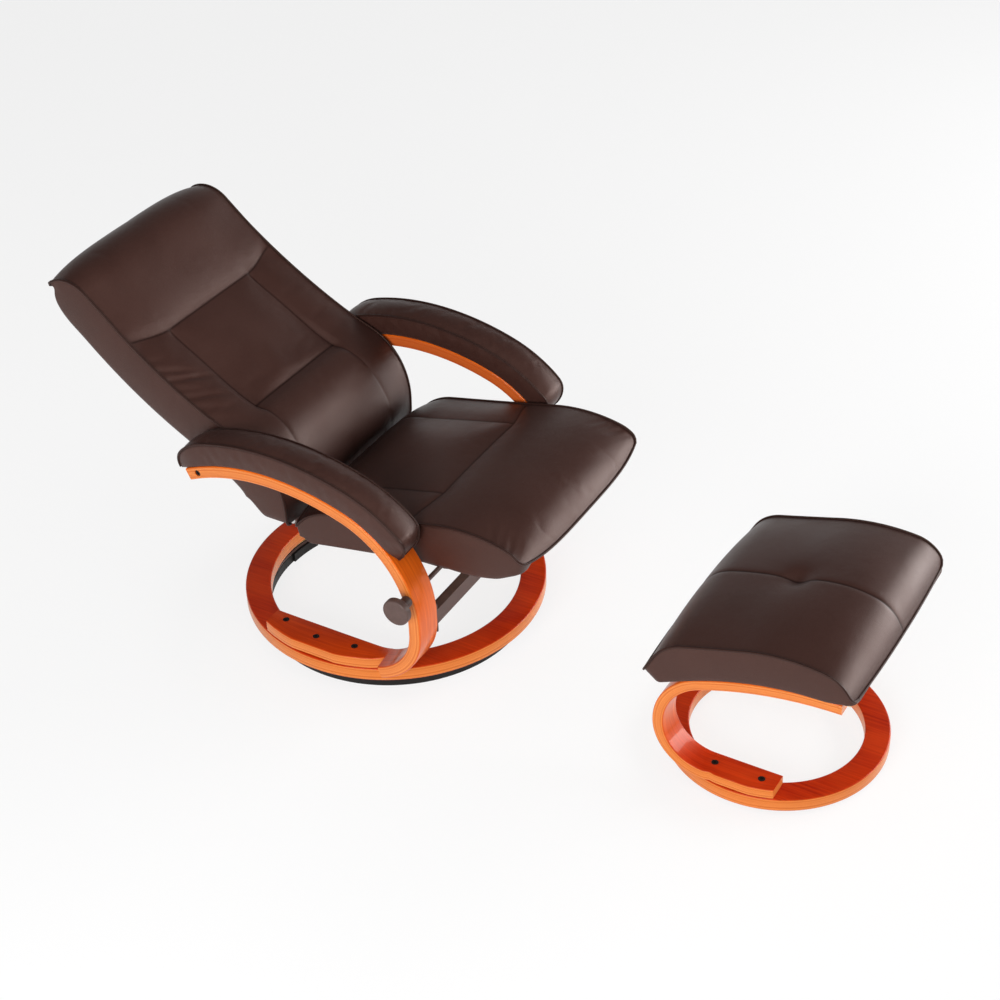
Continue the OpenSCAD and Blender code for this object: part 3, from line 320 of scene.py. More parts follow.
raw_wood = material("raw timber")
timber_streaks = noise(raw_wood, stretch(raw_wood, here(raw_wood), (160, 9, 9)), 1.0, 4.0, 0.6)
surface(raw_wood, Base_Color=blended(raw_wood, timber_streaks, (0.42, 0.25, 0.12), (0.62, 0.42, 0.23)),
        Roughness=0.7, Normal=bumps(raw_wood, timber_streaks, 0.0004, 0.4))
finishes = {
    "rubber": metal_paint("black rubber", (0.012, 0.011, 0.011), (0.03, 0.028, 0.027), 0.8, 0.0,
                          120.0, 0.0004),
    "black_steel": metal_paint("black painted steel", (0.006, 0.0045, 0.004), (0.012, 0.009, 0.008),
                               0.5, 0.0, specular=0.2),
    "grey_steel": metal_paint("grey painted steel", (0.070, 0.040, 0.034), (0.098, 0.060, 0.052),
                              0.45, 0.0, specular=0.3),
    "bright_steel": metal_paint("bright steel", (0.50, 0.49, 0.48), (0.66, 0.65, 0.64), 0.30, 1.0),
    "brass": metal_paint("brass", (0.52, 0.34, 0.12), (0.70, 0.49, 0.20), 0.34, 1.0),
    "webbing": metal_paint("woven webbing", (0.013, 0.012, 0.012), (0.045, 0.042, 0.04), 0.85, 0.0,
                           700.0, 0.0005),
    "pale_wood": raw_wood,
    "red_wood": wood,
    "leather": leather,
}
# The photograph shows these bolts darker than the rest of the steel.
blackened = ("foot_bolts", "stool_bolts", "pivot_bolts")
for name, part in frame["nodes"].items():
    part.data.materials.clear()
    part.data.materials.append(finishes["black_steel" if name in blackened else slots[name]])
print("finishes:", sorted(set(slots.values())))

# %% [markdown]
# ## Paths of runs and bends
# A bent strip, a seat and a backrest all follow a side view made of straight runs and round
# bends. A station on such a path is a point (y, z) with a heading in degrees. A bend turns to
# the right for a positive radius and to the left for a negative one.
# %% Walk along a path
def run(length):
    return (length, 0.0)


def bend(radius, turn):
    return (abs(radius) * radians(turn), radius)


def step(at, leg, d):
    y, z, heading = at
    if leg[1] == 0:
        return (y + d * cos(radians(heading)), z + d * sin(radians(heading)), heading)
    turned = heading - degrees(d / leg[1])
    return (y + leg[1] * (sin(radians(heading)) - sin(radians(turned))),
            z - leg[1] * (cos(radians(heading)) - cos(radians(turned))), turned)


def walk(start, legs, d):
    at = start
    for leg in legs[:-1]:
        if d <= leg[0]:
            return step(at, leg, d)
        at = step(at, leg, leg[0])
        d -= leg[0]
    return step(at, legs[-1], d)


def beside(at, distance):
    """The point at a distance to the right of a station."""
    return (at[0] + distance * sin(radians(at[2])), at[1] - distance * cos(radians(at[2])))


def length_of(legs):
    return sum(leg[0] for leg in legs)


foot_level = 0.073
arm_thick = 0.027
arm_start = (0.132, foot_level, 180)
arm_legs = [run(0.254), bend(0.150, 90), run(0.022), bend(0.245, 71), bend(0.543, 19), (0.211, 0.470)]
print("an arm is", round(length_of(arm_legs), 3), "m of wood along its outer side")

# %% [markdown]
# ## From a bmesh to a finished piece
# Every new piece ends in the same way: its normals are made to point outwards, its faces are
# shaded smooth with sharp edges kept where the angle is large, and it gets its material. It
# then says on which moving body it rides.
# %% Finish a piece
def finished(name, bm, finish="leather", smooth=180):
    bmesh.ops.recalc_face_normals(bm, faces=bm.faces)
    piece = placed(name, mesh_from(bm, name))
    piece.data.shade_smooth()
    piece.data.set_sharp_from_angle(angle=radians(smooth))
    piece.data.materials.append(finishes[finish])
    return piece


def claim(piece, body, node=None):
    """Says on which body a piece rides, and hides the plain part it stands for."""
    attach(piece, body)
    if node:
        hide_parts(node)


def only(kind, made):
    return [g for g in made if isinstance(g, kind)]


def rounded_outline(bm, corners, radius):
    """A closed outline with rounded corners, and its face."""
    outline = [bm.verts.new(corner) for corner in corners]
    bm.faces.new(outline)
    bmesh.ops.bevel(bm, geom=outline, offset=radius, offset_type="OFFSET", segments=5, profile=0.5,
                    affect="VERTICES", material=-1)
    return list(bm.edges)


print("finishing helpers are ready")

# %% [markdown]
# ## The wooden rings
# The ring under the chair and the smaller one under the footstool are turned and rounded
# over at all four edges. One rounded outline is spun a full turn about the upright axis. The
# height through the ring is its ply map, and straight grain runs across its top.
# %% Spin a ring
def wooden_ring(name, outer, width, low, thick, middle, body, node, round_over=0.0035):
    bm = bmesh.new()
    outline = rounded_outline(bm, [(outer - width, 0, low), (outer, 0, low), (outer, 0, low + thick),
                                   (outer - width, 0, low + thick)], round_over)
    bmesh.ops.delete(bm, geom=list(bm.faces), context="FACES_ONLY")
    bmesh.ops.spin(bm, geom=list(bm.verts) + outline, steps=144, **full_turn)
    bmesh.ops.remove_doubles(bm, verts=bm.verts, dist=1e-6)
    ply_map, grain_map = bm.loops.layers.uv.new("ply"), bm.loops.layers.uv.new("grain")
    for face_ in bm.faces:
        turned = [atan2(loop.vert.co.y, loop.vert.co.x) for loop in face_.loops]
        wraps = max(turned) - min(turned) > pi
        for loop, angle in zip(face_.loops, turned):
            along = (angle + (2 * pi if wraps and angle < 0 else 0)) * outer
            loop[ply_map].uv = (along, (loop.vert.co.z - low) / thick)
            loop[grain_map].uv = (loop.vert.co.y, loop.vert.co.x)
    bmesh.ops.translate(bm, verts=bm.verts, vec=(middle[0], middle[1], 0))
    piece = finished(name, bm, "red_wood", 40)
    claim(piece, body, node)
    print(name, "has", len(piece.data.polygons), "faces")


stool_middle = (-0.023, -0.916)
wooden_ring("chair_ring", 0.330, 0.056, 0.042, 0.031, (0, 0), "swivel_frame", "wooden_ring")
wooden_ring("footstool_ring", 0.226, 0.051, 0.0085, 0.030, stool_middle, "footstool", "stool_ring")

# %% [markdown]
# ## Bentwood strips
# An arm is one strip from its foot on the ring, up round the front and back to the pivot. A
# rounded outline is carried along the path: a run is an extrusion, and a bend is a spin about
# its own centre. Each vertex remembers how far along and across it lies, and these numbers
# become the two maps. The foot is then drawn in to the round edge of the ring below it.
# %% Carry an outline along a path
def swept_strip(inner, outer, thick, start, legs, ring_edge, foot_until, round_over=0.0032):
    bm = bmesh.new()
    along = bm.verts.layers.float.new("along")
    deep = bm.verts.layers.float.new("deep")
    y, z, heading = start
    under = beside(start, thick)
    ring = rounded_outline(bm, [(inner, y, z), (outer, y, z), (outer, *under), (inner, *under)], round_over)
    for vert in bm.verts:
        vert[deep] = (vert.co.z - z) / thick
    at, gone = start, 0.0
    for length, radius in legs:
        count = ceil(length / 0.012) if radius == 0 else ceil(degrees(length / abs(radius)) / 2.4)
        for _ in range(count):
            d = length / count
            if radius == 0:
                made = bmesh.ops.extrude_edge_only(bm, edges=ring)["geom"]
                way = Vector((0, cos(radians(at[2])), sin(radians(at[2]))))
                bmesh.ops.translate(bm, verts=only(bmesh.types.BMVert, made), vec=way * d)
            else:
                made = bmesh.ops.spin(bm, geom=ring, cent=(0, *beside(at, radius)), axis=(1, 0, 0),
                                      angle=-d / radius, steps=1)["geom_last"]
            fresh = set(only(bmesh.types.BMVert, made))
            ring = [e for e in only(bmesh.types.BMEdge, made) if set(e.verts) <= fresh]
            at = step(at, (length, radius), d)
            gone += d
            for vert in fresh:
                vert[along] = gone
    bmesh.ops.holes_fill(bm, edges=ring)
    ply_map, grain_map = bm.loops.layers.uv.new("ply"), bm.loops.layers.uv.new("grain")
    for face_ in bm.faces:
        for loop in face_.loops:
            loop[ply_map].uv = (loop.vert[along], loop.vert[deep])
            loop[grain_map].uv = (loop.vert[along], loop.vert.co.x)
    for vert in bm.verts:
        if vert[along] < foot_until and abs(vert.co.y) < ring_edge:
            edge_at = min(outer, sqrt(ring_edge ** 2 - vert.co.y ** 2))
            vert.co.x = inner + (vert.co.x - inner) * (edge_at - inner) / (outer - inner)
    return bm


def evaluated(piece):
    return piece.evaluated_get(bpy.context.evaluated_depsgraph_get())


def blind_holes(piece, holes):
    """Cuts round recesses: (centre, direction, radius, depth), the centre on the surface."""
    spare = 0.01  # how far the cutter stands out of the surface
    cutter = bmesh.new()
    for centre, direction, radius, deep in holes:
        turn = Vector(direction).to_track_quat("Z", "X").to_matrix().to_4x4()
        turn.translation = Vector(centre) + Vector(direction) * (spare - deep) / 2
        bmesh.ops.create_cone(cutter, cap_ends=True, segments=40, radius1=radius, radius2=radius,
                              depth=deep + spare, matrix=turn)
    tool = placed("cutter", mesh_from(cutter, "cutter"))
    cut = piece.modifiers.new("recesses", "BOOLEAN")
    cut.operation, cut.solver, cut.object = "DIFFERENCE", "EXACT", tool
    bpy.context.view_layer.update()
    carved = bpy.data.meshes.new_from_object(evaluated(piece))
    piece.modifiers.clear()
    plain, piece.data = piece.data, carved
    bpy.data.objects.remove(tool)
    bpy.data.meshes.remove(plain)


def strip_piece(name, bm, holes, body, node):
    piece = finished(name, bm, "red_wood", 40)
    blind_holes(piece, holes)
    claim(piece, body, node)
    print(name, "has", len(piece.data.polygons), "faces")


bolt_recess = (0.0075, 0.004)  # radius and depth
print("strip helpers are ready")

# %% [markdown]
# ## The arms
# The left arm is made first, and the right one is its mirror image. Three bolt heads sit in
# recesses in the foot, and the pivot bolt in one near the rear end, on the outer face.
# %% Bend the arms
arm_inner, arm_outer = 0.257, 0.325
foot_top = foot_level + arm_thick
bolt_ring, bolt_angles = 0.294, (-15.5, 2.0, 19.5)
pivot_at = beside(walk(arm_start, arm_legs, length_of(arm_legs) - 0.028), arm_thick / 2)
pivot_recess = (0.007, 0.007)
for side, hand in ((1, "left"), (-1, "right")):
    bm = swept_strip(arm_inner, arm_outer, arm_thick, arm_start, arm_legs, 0.3292, 0.30)
    bmesh.ops.scale(bm, verts=bm.verts, vec=(side, 1, 1))
    holes = [((side * bolt_ring * cos(radians(a)), bolt_ring * sin(radians(a)), foot_top), (0, 0, 1),
              *bolt_recess) for a in bolt_angles]
    holes.append(((side * arm_outer, *pivot_at), (side, 0, 0), *pivot_recess))
    strip_piece(hand + "_arm_wood", bm, holes, "swivel_frame", hand + "_arm")

# %% [markdown]
# ## The footstool's strips
# They are bent in the same way as the arms, with a tighter lower bend, and end in a long
# gentle rise under the cushion. The footstool faces the chair, so its own +Y points forward:
# each strip is drawn in the footstool's own frame and then turned half round.
# %% Bend the footstool's strips
stool_thick, stool_foot_level = 0.023, 0.0385
stool_start = (0.082, stool_foot_level, 180)
stool_legs = [run(0.141), bend(0.112, 90), bend(0.140, 68), bend(0.774, 22)]
stool_bolt_ring, stool_bolt_angle = 0.19591, 14.5


def in_stool(x, y, z):
    """From the footstool's own frame to the chair's."""
    return (stool_middle[0] - x, stool_middle[1] - y, z)


for side, hand in ((1, "right"), (-1, "left")):
    bm = swept_strip(0.162, 0.223, stool_thick, stool_start, stool_legs, 0.2252, 0.13)
    bmesh.ops.scale(bm, verts=bm.verts, vec=(side, 1, 1))
    for vert in bm.verts:
        vert.co = in_stool(*vert.co)
    holes = [(in_stool(side * stool_bolt_ring * cos(radians(a)), stool_bolt_ring * sin(radians(a)),
                       stool_foot_level + stool_thick), (0, 0, 1), *bolt_recess)
             for a in (-stool_bolt_angle, stool_bolt_angle)]
    strip_piece("footstool_" + hand + "_wood", bm, holes, "footstool", "stool_" + hand + "_strip")

# %% [markdown]
# ## How a cushion is sewn
# A cushion is a top panel that runs over the whole length, a boxing strip down each side and
# an underside stapled round a board or frame. Each one starts as a flat grid of squares that
# is wrapped round the form: its columns run along the length and its rows go right round. The
# grid is drawn so that a column or a row lies exactly on each seam, because a seam then stays
# crisp when the leather is blown up. A second small grid closes each end. Every vertex
# carries a mark: its kind, its share of the half width, the length at which it lies, and its
# row and column.
# %% Wrap a grid round a cushion's form
UNDER, BOXING, TOP, PIPED = range(4)
Mark = namedtuple("Mark", "kind share length row column")


def spaced(marks, counts):
    """Marks in order, with each stretch between two of them divided evenly."""
    places = [marks[0]]
    for a, b, n in zip(marks, marks[1:], counts):
        places += [a + (b - a) * k / n for k in range(1, n + 1)]
    return places


def drawn_in(d, length, radius):
    """How far a rounded corner draws the edge in, near either end."""
    left = 1 - min(1.0, max(0.0, min(d, length - d) / radius))
    return radius * (1 - sqrt(1 - left * left))


def seamed(low, seams, high, counts, edge, strip=0.004):
    """Marks from low to high: a narrow strip at each end, and one on both sides of each seam."""
    marks, number = [low, low + edge], [1]
    for seam, count in zip(seams, counts):
        marks += [seam - strip, seam, seam + strip]
        number += [count, 1, 1]
    return spaced(marks + [high - edge, high], number + [counts[-1], 1])


def mixed(a, b, share):
    return tuple(p + (q - p) * share for p, q in zip(a, b))


def divided(points, count):
    """A polyline cut into equal lengths."""
    lengths = [hypot(*[q - p for p, q in zip(a, b)]) for a, b in zip(points, points[1:])]
    made = []
    for k in range(count + 1):
        left = sum(lengths) * k / count
        for a, b, length in zip(points, points[1:], lengths):
            if left <= length + 1e-9:
                made.append(mixed(a, b, left / max(length, 1e-9)))
                break
            left -= length
        else:
            made.append(points[-1])
    return made


def grid_of(bm, points, mark):
    """A grid whose vertices are placed row by row, each with its marks."""
    wide, high = len(points[0]) - 1, len(points) - 1
    fresh = bmesh.ops.create_grid(bm, x_segments=wide, y_segments=high, size=1)["verts"]
    for vert in fresh:
        column = round((vert.co.x + 1) / 2 * wide)
        row = round((vert.co.y + 1) / 2 * high)
        mark(vert, row, column)
        vert.co = points[row][column]


def flipped(points):
    return [(-x, y, z) for x, y, z in points]


def leather_form(rows, columns, half, top, under, side_count=7, bulge=0.002):
    """rows(v) and columns(d) give the seams' grid, top(d, v) the top panel's side view, and
    under(d) the underside from a lower corner to the middle. Returns the bmesh."""
    falls = [0] + [0.04 + 0.96 * k / (side_count - 1) for k in range(side_count)]
    bm = bmesh.new()
    kind = bm.verts.layers.int.new("kind")
    row_mark, column_mark = bm.verts.layers.int.new("row"), bm.verts.layers.int.new("column")
    share_mark, length_mark = bm.verts.layers.float.new("share"), bm.verts.layers.float.new("length")
    top_count, last = len(columns(0)) - 1, len(rows(0)) - 1
    rings = []
    for i in range(last + 1):
        panel = []
        for j in range(top_count + 1):
            d = rows(columns(rows(0)[i])[j])[i]
            v = columns(d)[j]
            panel.append((half(d) * v, *top(d, v), v, d))
        corner = divided(flipped(under(rows(1)[i])), top_count // 2)
        swell = bulge * sin(pi * i / last)
        fallen = [(s, mixed(panel[0][:3], corner[0], s)) for s in reversed(falls[1:-1])]
        side = [(x - swell * 4 * s * (1 - s), y, z) for s, (x, y, z) in fallen]
        rings.append((corner, side, panel))
    points = [corner[::-1] + side + [p[:3] for p in panel] + flipped(side[::-1] + corner)
              for corner, side, panel in rings]
    under_count = top_count // 2
    top_from = under_count + side_count

    def mark(vert, row, column):
        j = column - top_from
        vert[row_mark], vert[column_mark] = row, j
        if 0 <= j <= top_count:
            vert[kind] = PIPED if j in (0, top_count) else TOP
            vert[share_mark], vert[length_mark] = rings[row][2][j][3:]
        else:
            boxed = under_count < column < len(points[0]) - 1 - under_count
            vert[kind] = BOXING if boxed else UNDER
            vert[share_mark], vert[length_mark] = (-1 if j < 0 else 1), rows(1)[row]

    grid_of(bm, points, mark)
    for end in (0, last):
        corner, _, panel = rings[end]
        below = corner + flipped(corner[::-1])[1:]

        def end_mark(vert, row, column):
            if row:
                vert[kind] = UNDER if row == side_count else BOXING
                vert[row_mark], vert[column_mark] = end, -1
            else:
                mark(vert, end, column + top_from)

        grid_of(bm, [[mixed(p[:3], q, fall) for p, q in zip(panel, below)] for fall in falls], end_mark)
    bmesh.ops.remove_doubles(bm, verts=bm.verts, dist=2e-6)
    bmesh.ops.recalc_face_normals(bm, faces=bm.faces)
    return bm


print("the wrapping helpers are ready")

# %% [markdown]
# ## Blowing up the leather
# The real filling pushes the leather outwards between the seams that hold it. Cloth
# simulation does the same: the piping, the seams and the underside are held, and a pressure
# swells the rest for some frames without gravity. The leather is cut a little too large, so
# that it gathers in small folds along the seams. No point may move further than a limit, and
# the result is kept as the piece's own mesh.
# %% Blow up a form
def marks_of(piece):
    layers = [[value.value for value in piece.data.attributes[name].data] for name in Mark._fields]
    return [Mark(*values) for values in zip(*layers)]


def swollen(piece, held_at, pressure, slack, limit, calm=0, frames=16):
    """Swells the leather where held_at(mark) is below 1; calm rounds evens out the result."""
    held = {index: held_at(mark) for index, mark in enumerate(marks_of(piece))}
    holder = piece.vertex_groups.new(name="held")
    for index, weight in held.items():
        if weight > 0:
            holder.add([index], weight, "REPLACE")
    cloth = piece.modifiers.new("leather", "CLOTH")
    for key, value in {"quality": 5, "mass": 0.3, "tension_stiffness": 25, "compression_stiffness": 12,
                       "shear_stiffness": 8, "bending_stiffness": 1.2, "use_pressure": True,
                       "uniform_pressure_force": pressure, "shrink_min": -slack,
                       "vertex_group_mass": "held"}.items():
        setattr(cloth.settings, key, value)
    cloth.settings.effector_weights.gravity = 0
    cloth.point_cache.frame_start, cloth.point_cache.frame_end = 1, frames
    for frame_number in range(1, frames + 1):
        scene.frame_set(frame_number)
    shifts = [moved.co - vert.co for vert, moved in zip(piece.data.vertices, evaluated(piece).data.vertices)]
    around = [[] for _ in shifts]
    for edge_ in piece.data.edges:
        first_end, second_end = edge_.vertices
        around[first_end].append(second_end)
        around[second_end].append(first_end)
    for _ in range(calm):
        shifts = [(shift + sum((shifts[j] for j in around[i]), Vector()) / len(around[i])) / 2
                  * (1 - held[i]) for i, shift in enumerate(shifts)]
    furthest = max(shift.length for shift in shifts)
    for vert, shift in zip(piece.data.vertices, shifts):
        vert.co += shift * min(1, limit / max(shift.length, 1e-9))
    piece.modifiers.remove(cloth)
    piece.vertex_groups.remove(holder)
    scene.frame_set(1)
    print(piece.name, "swelled by at most", round(furthest * 1000, 1), "mm")


def folded(piece, depth_at):
    """Moves each point of the top panel along its normal by depth_at(mark)."""
    normals = [vert.normal.copy() for vert in piece.data.vertices]
    for vert, normal, mark in zip(piece.data.vertices, normals, marks_of(piece)):
        if mark.kind == TOP:
            vert.co += normal * depth_at(mark)


def paint_shade(piece, last, amount_at=lambda mark: 0.0):
    """Paints shade into the leather: painted shade all round the piping, and on seams and other places that
    amount_at gives.
    """
    amounts = [0.9 if mark.kind == PIPED or mark.kind == TOP and mark.row in (0, last) else
               amount_at(mark) if mark.kind == TOP else 0.0 for mark in marks_of(piece)]
    piece.data.attributes.new("painted_shade", "FLOAT", "POINT").data.foreach_set("value", amounts)


def near(value, place, width):
    return exp(-((value - place) / width) ** 2)


def smooth_step(value, low, high):
    share = min(1.0, max(0.0, (value - low) / (high - low)))
    return share * share * (3 - 2 * share)


def softened(piece, body, node):
    rounding = piece.modifiers.new("rounding", "SUBSURF")
    rounding.levels = rounding.render_levels = 1
    claim(piece, body, node=node)


puffed_share = 0.6
print("the leather starts at", puffed_share, "of its crown")

# %% [markdown]
# ## Piping
# A thin cord wrapped in leather is sewn into the seam between the top panel and the boxing.
# It is drawn as a curve through the points of that seam, given a round section, and turned
# into a mesh. Shade is painted on all of its leather, so it renders a little darker than the cushion's.
# %% Lay a piping cord
def piping(name, points, body, closed=True, radius=0.0026):
    curve = bpy.data.curves.new(name, "CURVE")
    curve.dimensions, curve.use_fill_caps = "3D", True
    curve.bevel_depth, curve.bevel_resolution = radius, 2
    spline = curve.splines.new("POLY")
    spline.points.add(len(points) - 1)
    for point, place in zip(spline.points, points):
        point.co = (*place, 1)
    spline.use_cyclic_u = closed
    drawn = placed(name, curve)
    bpy.context.view_layer.update()
    mesh = bpy.data.meshes.new_from_object(evaluated(drawn))
    bpy.data.objects.remove(drawn)
    cord = placed(name, mesh)
    mesh.shade_smooth()
    mesh.materials.clear()
    mesh.materials.append(leather)
    # Painted shade over the whole cord, at a value of 0.6.
    mesh.attributes.new("painted_shade", "FLOAT", "POINT").data.foreach_set("value", [0.6] * len(mesh.vertices))
    claim(cord, body)
    return cord


def seam_points(piece, last, top_count=64):
    """The piping seam of a cushion: its two sides, and the whole way round its top panel."""
    spots = {(mark.row, mark.column): vert.co + vert.normal * 0.0010
             for vert, mark in zip(piece.data.vertices, marks_of(piece)) if mark.kind >= TOP}
    first, second = [[spots[i, j] for i in range(last + 1)] for j in (0, top_count)]
    far_end = [spots[last, j] for j in range(1, top_count)]
    near_end = [spots[0, j] for j in range(top_count - 1, 0, -1)]
    return first, second, first + far_end + second[::-1] + near_end


print("piping is ready")

# %% [markdown]
# ## The seat
# The seat's top panel rolls over the front edge and down to a piping at the bottom. A seam
# crosses the seat in front of its middle, and two more run back from it, so that the rear
# half has a centre panel. The leather is pulled round the edge of the board underneath.
# %% Sew the seat
hinge = (pivot_at[0] - 0.125, pivot_at[1] - 0.159)
seat_legs = [bend(0.075, 45), bend(0.320, 27.5), run(0.266), bend(0.129, 43.5)]
seat_length = length_of(seat_legs)
seat_rear = (hinge[0] - 0.0515, hinge[1] + 0.0359)
seat_reach = walk((0, 0, 60), seat_legs, seat_length)
seat_start = (seat_rear[0] - seat_reach[0], seat_rear[1] - seat_reach[1], 60)
board_rear = (seat_rear[0] - 0.040, seat_rear[1] - 0.0341)


def board_level(y):
    return board_rear[1] + (board_rear[0] - y) * 0.16555


def seat_half(d):
    return 0.2465 - 0.004 * sin(pi * min(1, max(0, d / seat_length))) - drawn_in(d - seat_front(1), 2, 0.024)


def seat_front(v):
    """Where the front piping lies: it bulges forward between the corners."""
    return -0.008 + 0.014 * v ** 4


def seat_seam(v):
    return 0.255 + 0.026 * smooth_step(abs(v), 0.52, 1.0)


def seat_top(d, v):
    t = min(1.0, max(0.0, d / seat_length))
    crown = (0.006 + 0.016 * puffed_share) * sqrt(sin(pi * (0.03 + 0.94 * t)))
    bulged = crown * (1 - abs(v) ** 3) + 0.012 * smooth_step(d, 0.47, 0.56) * (1 - abs(v) ** 6)
    sewn = 0.0030 * near(d, seat_seam(v), 0.004) * (1 - abs(v) ** 8)
    sides = smooth_step(d, 0.25, 0.27) * (1 - smooth_step(d, 0.53, 0.57))
    sewn += 0.0020 * near(abs(v), 0.585, 0.014) * sides
    return beside(walk(seat_start, seat_legs, d), sewn - bulged)


def seat_under(d):
    y = seat_start[0] + 0.004 + (seat_rear[0] - seat_start[0] - 0.008) * d / seat_length
    high = board_level(y) + 0.0146
    low = board_level(y) - 0.0012 - 0.012 * near(y, -0.355, 0.075) + 0.0145 * smooth_step(y, 0.035, 0.058)
    low += 0.012 * smooth_step(-y, 0.40, 0.455)
    low = min(low, high - 0.0005)
    wide = seat_half(d)
    return [(wide, y, low), (wide - 0.0115, y, low), (wide - 0.0118, y, high), (0, y, high)]


long_seams = (13, 51)  # the columns that lie on the two seams along a cushion
seat_cross, seat_last = 46, 88  # the rows on the cross seam and at the rear
seat = finished("seat_leather", leather_form(
    lambda v: seamed(seat_front(v), [seat_seam(v)], seat_length, [44, 40], 0.004),
    lambda d: seamed(-1, [-0.585, 0.585], 1, [11, 36, 11], 0.016, 0.016), seat_half, seat_top, seat_under))


def seat_held(mark):
    if mark.kind != TOP or mark.row in (0, seat_last):
        return 0.0 if mark.kind == BOXING else 1.0
    across = mark.row == seat_cross and abs(mark.share) < 0.97
    return float(across or mark.column in long_seams and mark.row > seat_cross)


swollen(seat, seat_held, pressure=4.0, slack=0.0015, limit=0.014, calm=1)
print("the seat has", len(seat.data.polygons), "squares")


def seat_shade(mark):
    across = (mark.row == seat_cross) * (1 - smooth_step(abs(mark.share), 0.93, 1.0))
    sides = (mark.column in long_seams) * smooth_step(mark.row, 45, 47)
    # Painted shade on the cross seam and the side seams, and over the rear of the seat, where it runs in
    # under the back.
    return max(0.8 * across, 0.8 * sides, 0.6 * smooth_step(mark.length, 0.42, 0.54))


def corner_folds(mark):
    """Short gathers that run in from the piping at the two front corners."""
    edge_share = abs(mark.share)
    inward = smooth_step(-edge_share, -1.0, -0.975) * (1 - smooth_step(-edge_share, -0.90, -0.72))
    return -inward * sum(deep * near(mark.length - 0.10 * (1 - edge_share), place, 0.0058) for place, deep in
                         ((0.028, 0.0024), (0.046, 0.0034), (0.066, 0.0030), (0.088, 0.0020)))


folded(seat, corner_folds)
paint_shade(seat, seat_last, seat_shade)
seat_cord = piping("seat_piping", seam_points(seat, seat_last)[2], "seat")
softened(seat, "seat", "seat_cushion")
for piece in (seat, seat_cord):
    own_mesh(piece)

# %% [markdown]
# ## The backrest
# The back's top panel climbs from the lumbar curve to the head roll, which turns over at the
# top. Its centre panel lies between two long seams, with a deep crease across it above the
# lumbar swell and another seam below the head. The boxing reaches behind the frame on both
# sides, and a flatter rear panel closes the back. The underside is drawn as a pocket, so the
# leather stays clear of the timber frame inside it.
# %% Sew the backrest
back_start = (pivot_at[0] - 0.147, pivot_at[1] - 0.13897, 90)
back_legs = [run(0.040), bend(0.165, 66.5), (0.371, -1.150), run(0.060), bend(0.071, 77), bend(0.010, 80)]
back_total = length_of(back_legs[:-1])
back_length = length_of(back_legs)
frame_to = back_total - 0.0954 - 0.030


def back_at(d):
    return walk(back_start, back_legs, d)


def back_depth(d):
    swell = sin(pi * min(1.0, max(0.0, d / (back_total * 0.45)))) ** 2
    low = 0.55 + 0.45 * min(1.0, max(0.0, d / 0.050))
    return (0.098 + 0.014 * swell) * low


def back_half(d):
    return 0.2405 + 0.0065 * sin(pi * min(1.0, d / 0.60)) - drawn_in(d, back_length, 0.012)


def cross_seam(v):
    return 0.258 - 0.004 * v


def head_seam(v):
    return 0.500 + 0.024 * smooth_step(abs(v), 0.55, 1.05) - 0.003 * v


def side_seam(d):
    return 0.565 + 0.07 * smooth_step(-d, -0.24, -0.06)


def back_top(d, v):
    crown = (0.001 + 0.007 * puffed_share) * (0.25 + 0.75 * min(1.0, (5 * d / back_total) ** 2))
    lift = crown * (1 - abs(v) ** 3) + 0.009 * near(d, 0.045, 0.045) * (1 - abs(v) ** 6)
    lift += (0.006 * near(d, 0.195, 0.05) + 0.012 * smooth_step(d, 0.57, 0.72)) * (1 - v ** 4)
    lift += 0.005 * near(d, 0.17, 0.08)
    inside = 1 - smooth_step(abs(v), side_seam(d), side_seam(d) + 0.05)
    below, above = cross_seam(v) - d, d - head_seam(v)
    sewn = 0.0090 * (near(below, 0, 0.018) if below > 0 else near(below, 0, 0.11)) * inside
    sewn += 0.0060 * (near(above, 0, 0.022) if above > 0 else near(above, 0, 0.07)) * (1 - abs(v) ** 10)
    along = smooth_step(d, 0.05, 0.24) * (1 - smooth_step(d, 0.49, 0.505))
    sewn += 0.003 * near(abs(v), side_seam(d), 0.014) * along
    return beside(back_at(d), sewn - lift)


def back_under(d):
    over = (d - frame_to) / (back_total - frame_to)
    if over <= 0:
        lower = beside(back_at(d), back_depth(d))
    else:
        leave = beside(back_at(frame_to), back_depth(frame_to))
        onward = step((*leave, back_at(frame_to)[2]), run(0), 0.075)[:2]
        tip = beside(back_at(back_total), 0.018)
        lower = mixed(mixed(leave, onward, min(1, over)), mixed(onward, tip, min(1, over)), min(1, over))
    pocket = beside(back_at(d), min(0.0585, back_depth(d) - 0.010))
    deep = smooth_step(d, 0.026, 0.034) * (1 - smooth_step(d, frame_to - 0.001, frame_to + 0.012))
    foot = mixed(lower, pocket, deep)
    wide = back_half(d)
    return [(wide, *lower), (min(0.2255, wide - 0.008), *lower),
            (min(0.2253, wide - 0.0082), *foot), (0, *foot)]


back_cross, back_head, back_last = 34, 80, 116  # the rows on the two seams and at the top
back = finished("back_leather", leather_form(
    lambda v: seamed(0, [cross_seam(v), head_seam(v)], back_length, [32, 44, 34], 0.004),
    lambda d: seamed(-1, [-side_seam(d), side_seam(d)], 1, [11, 36, 11], 0.016, 0.016),
    back_half, back_top, back_under, 9))


def on_cross_seam(mark):
    return mark.row == back_cross and 12 < mark.column < 52


def back_held(mark):
    if mark.kind != TOP or mark.row in (0, back_last):
        return 0.0 if mark.kind == BOXING else 1.0
    head = mark.row == back_head and abs(mark.share) < 0.98
    sides = mark.column in long_seams and back_cross <= mark.row <= back_head
    faint = mark.column in long_seams and 10 < mark.row < back_cross
    return 1.0 if on_cross_seam(mark) or head or sides else (0.4 if faint else 0.0)


swollen(back, back_held, pressure=3.5, slack=0.002, limit=0.012, calm=2)


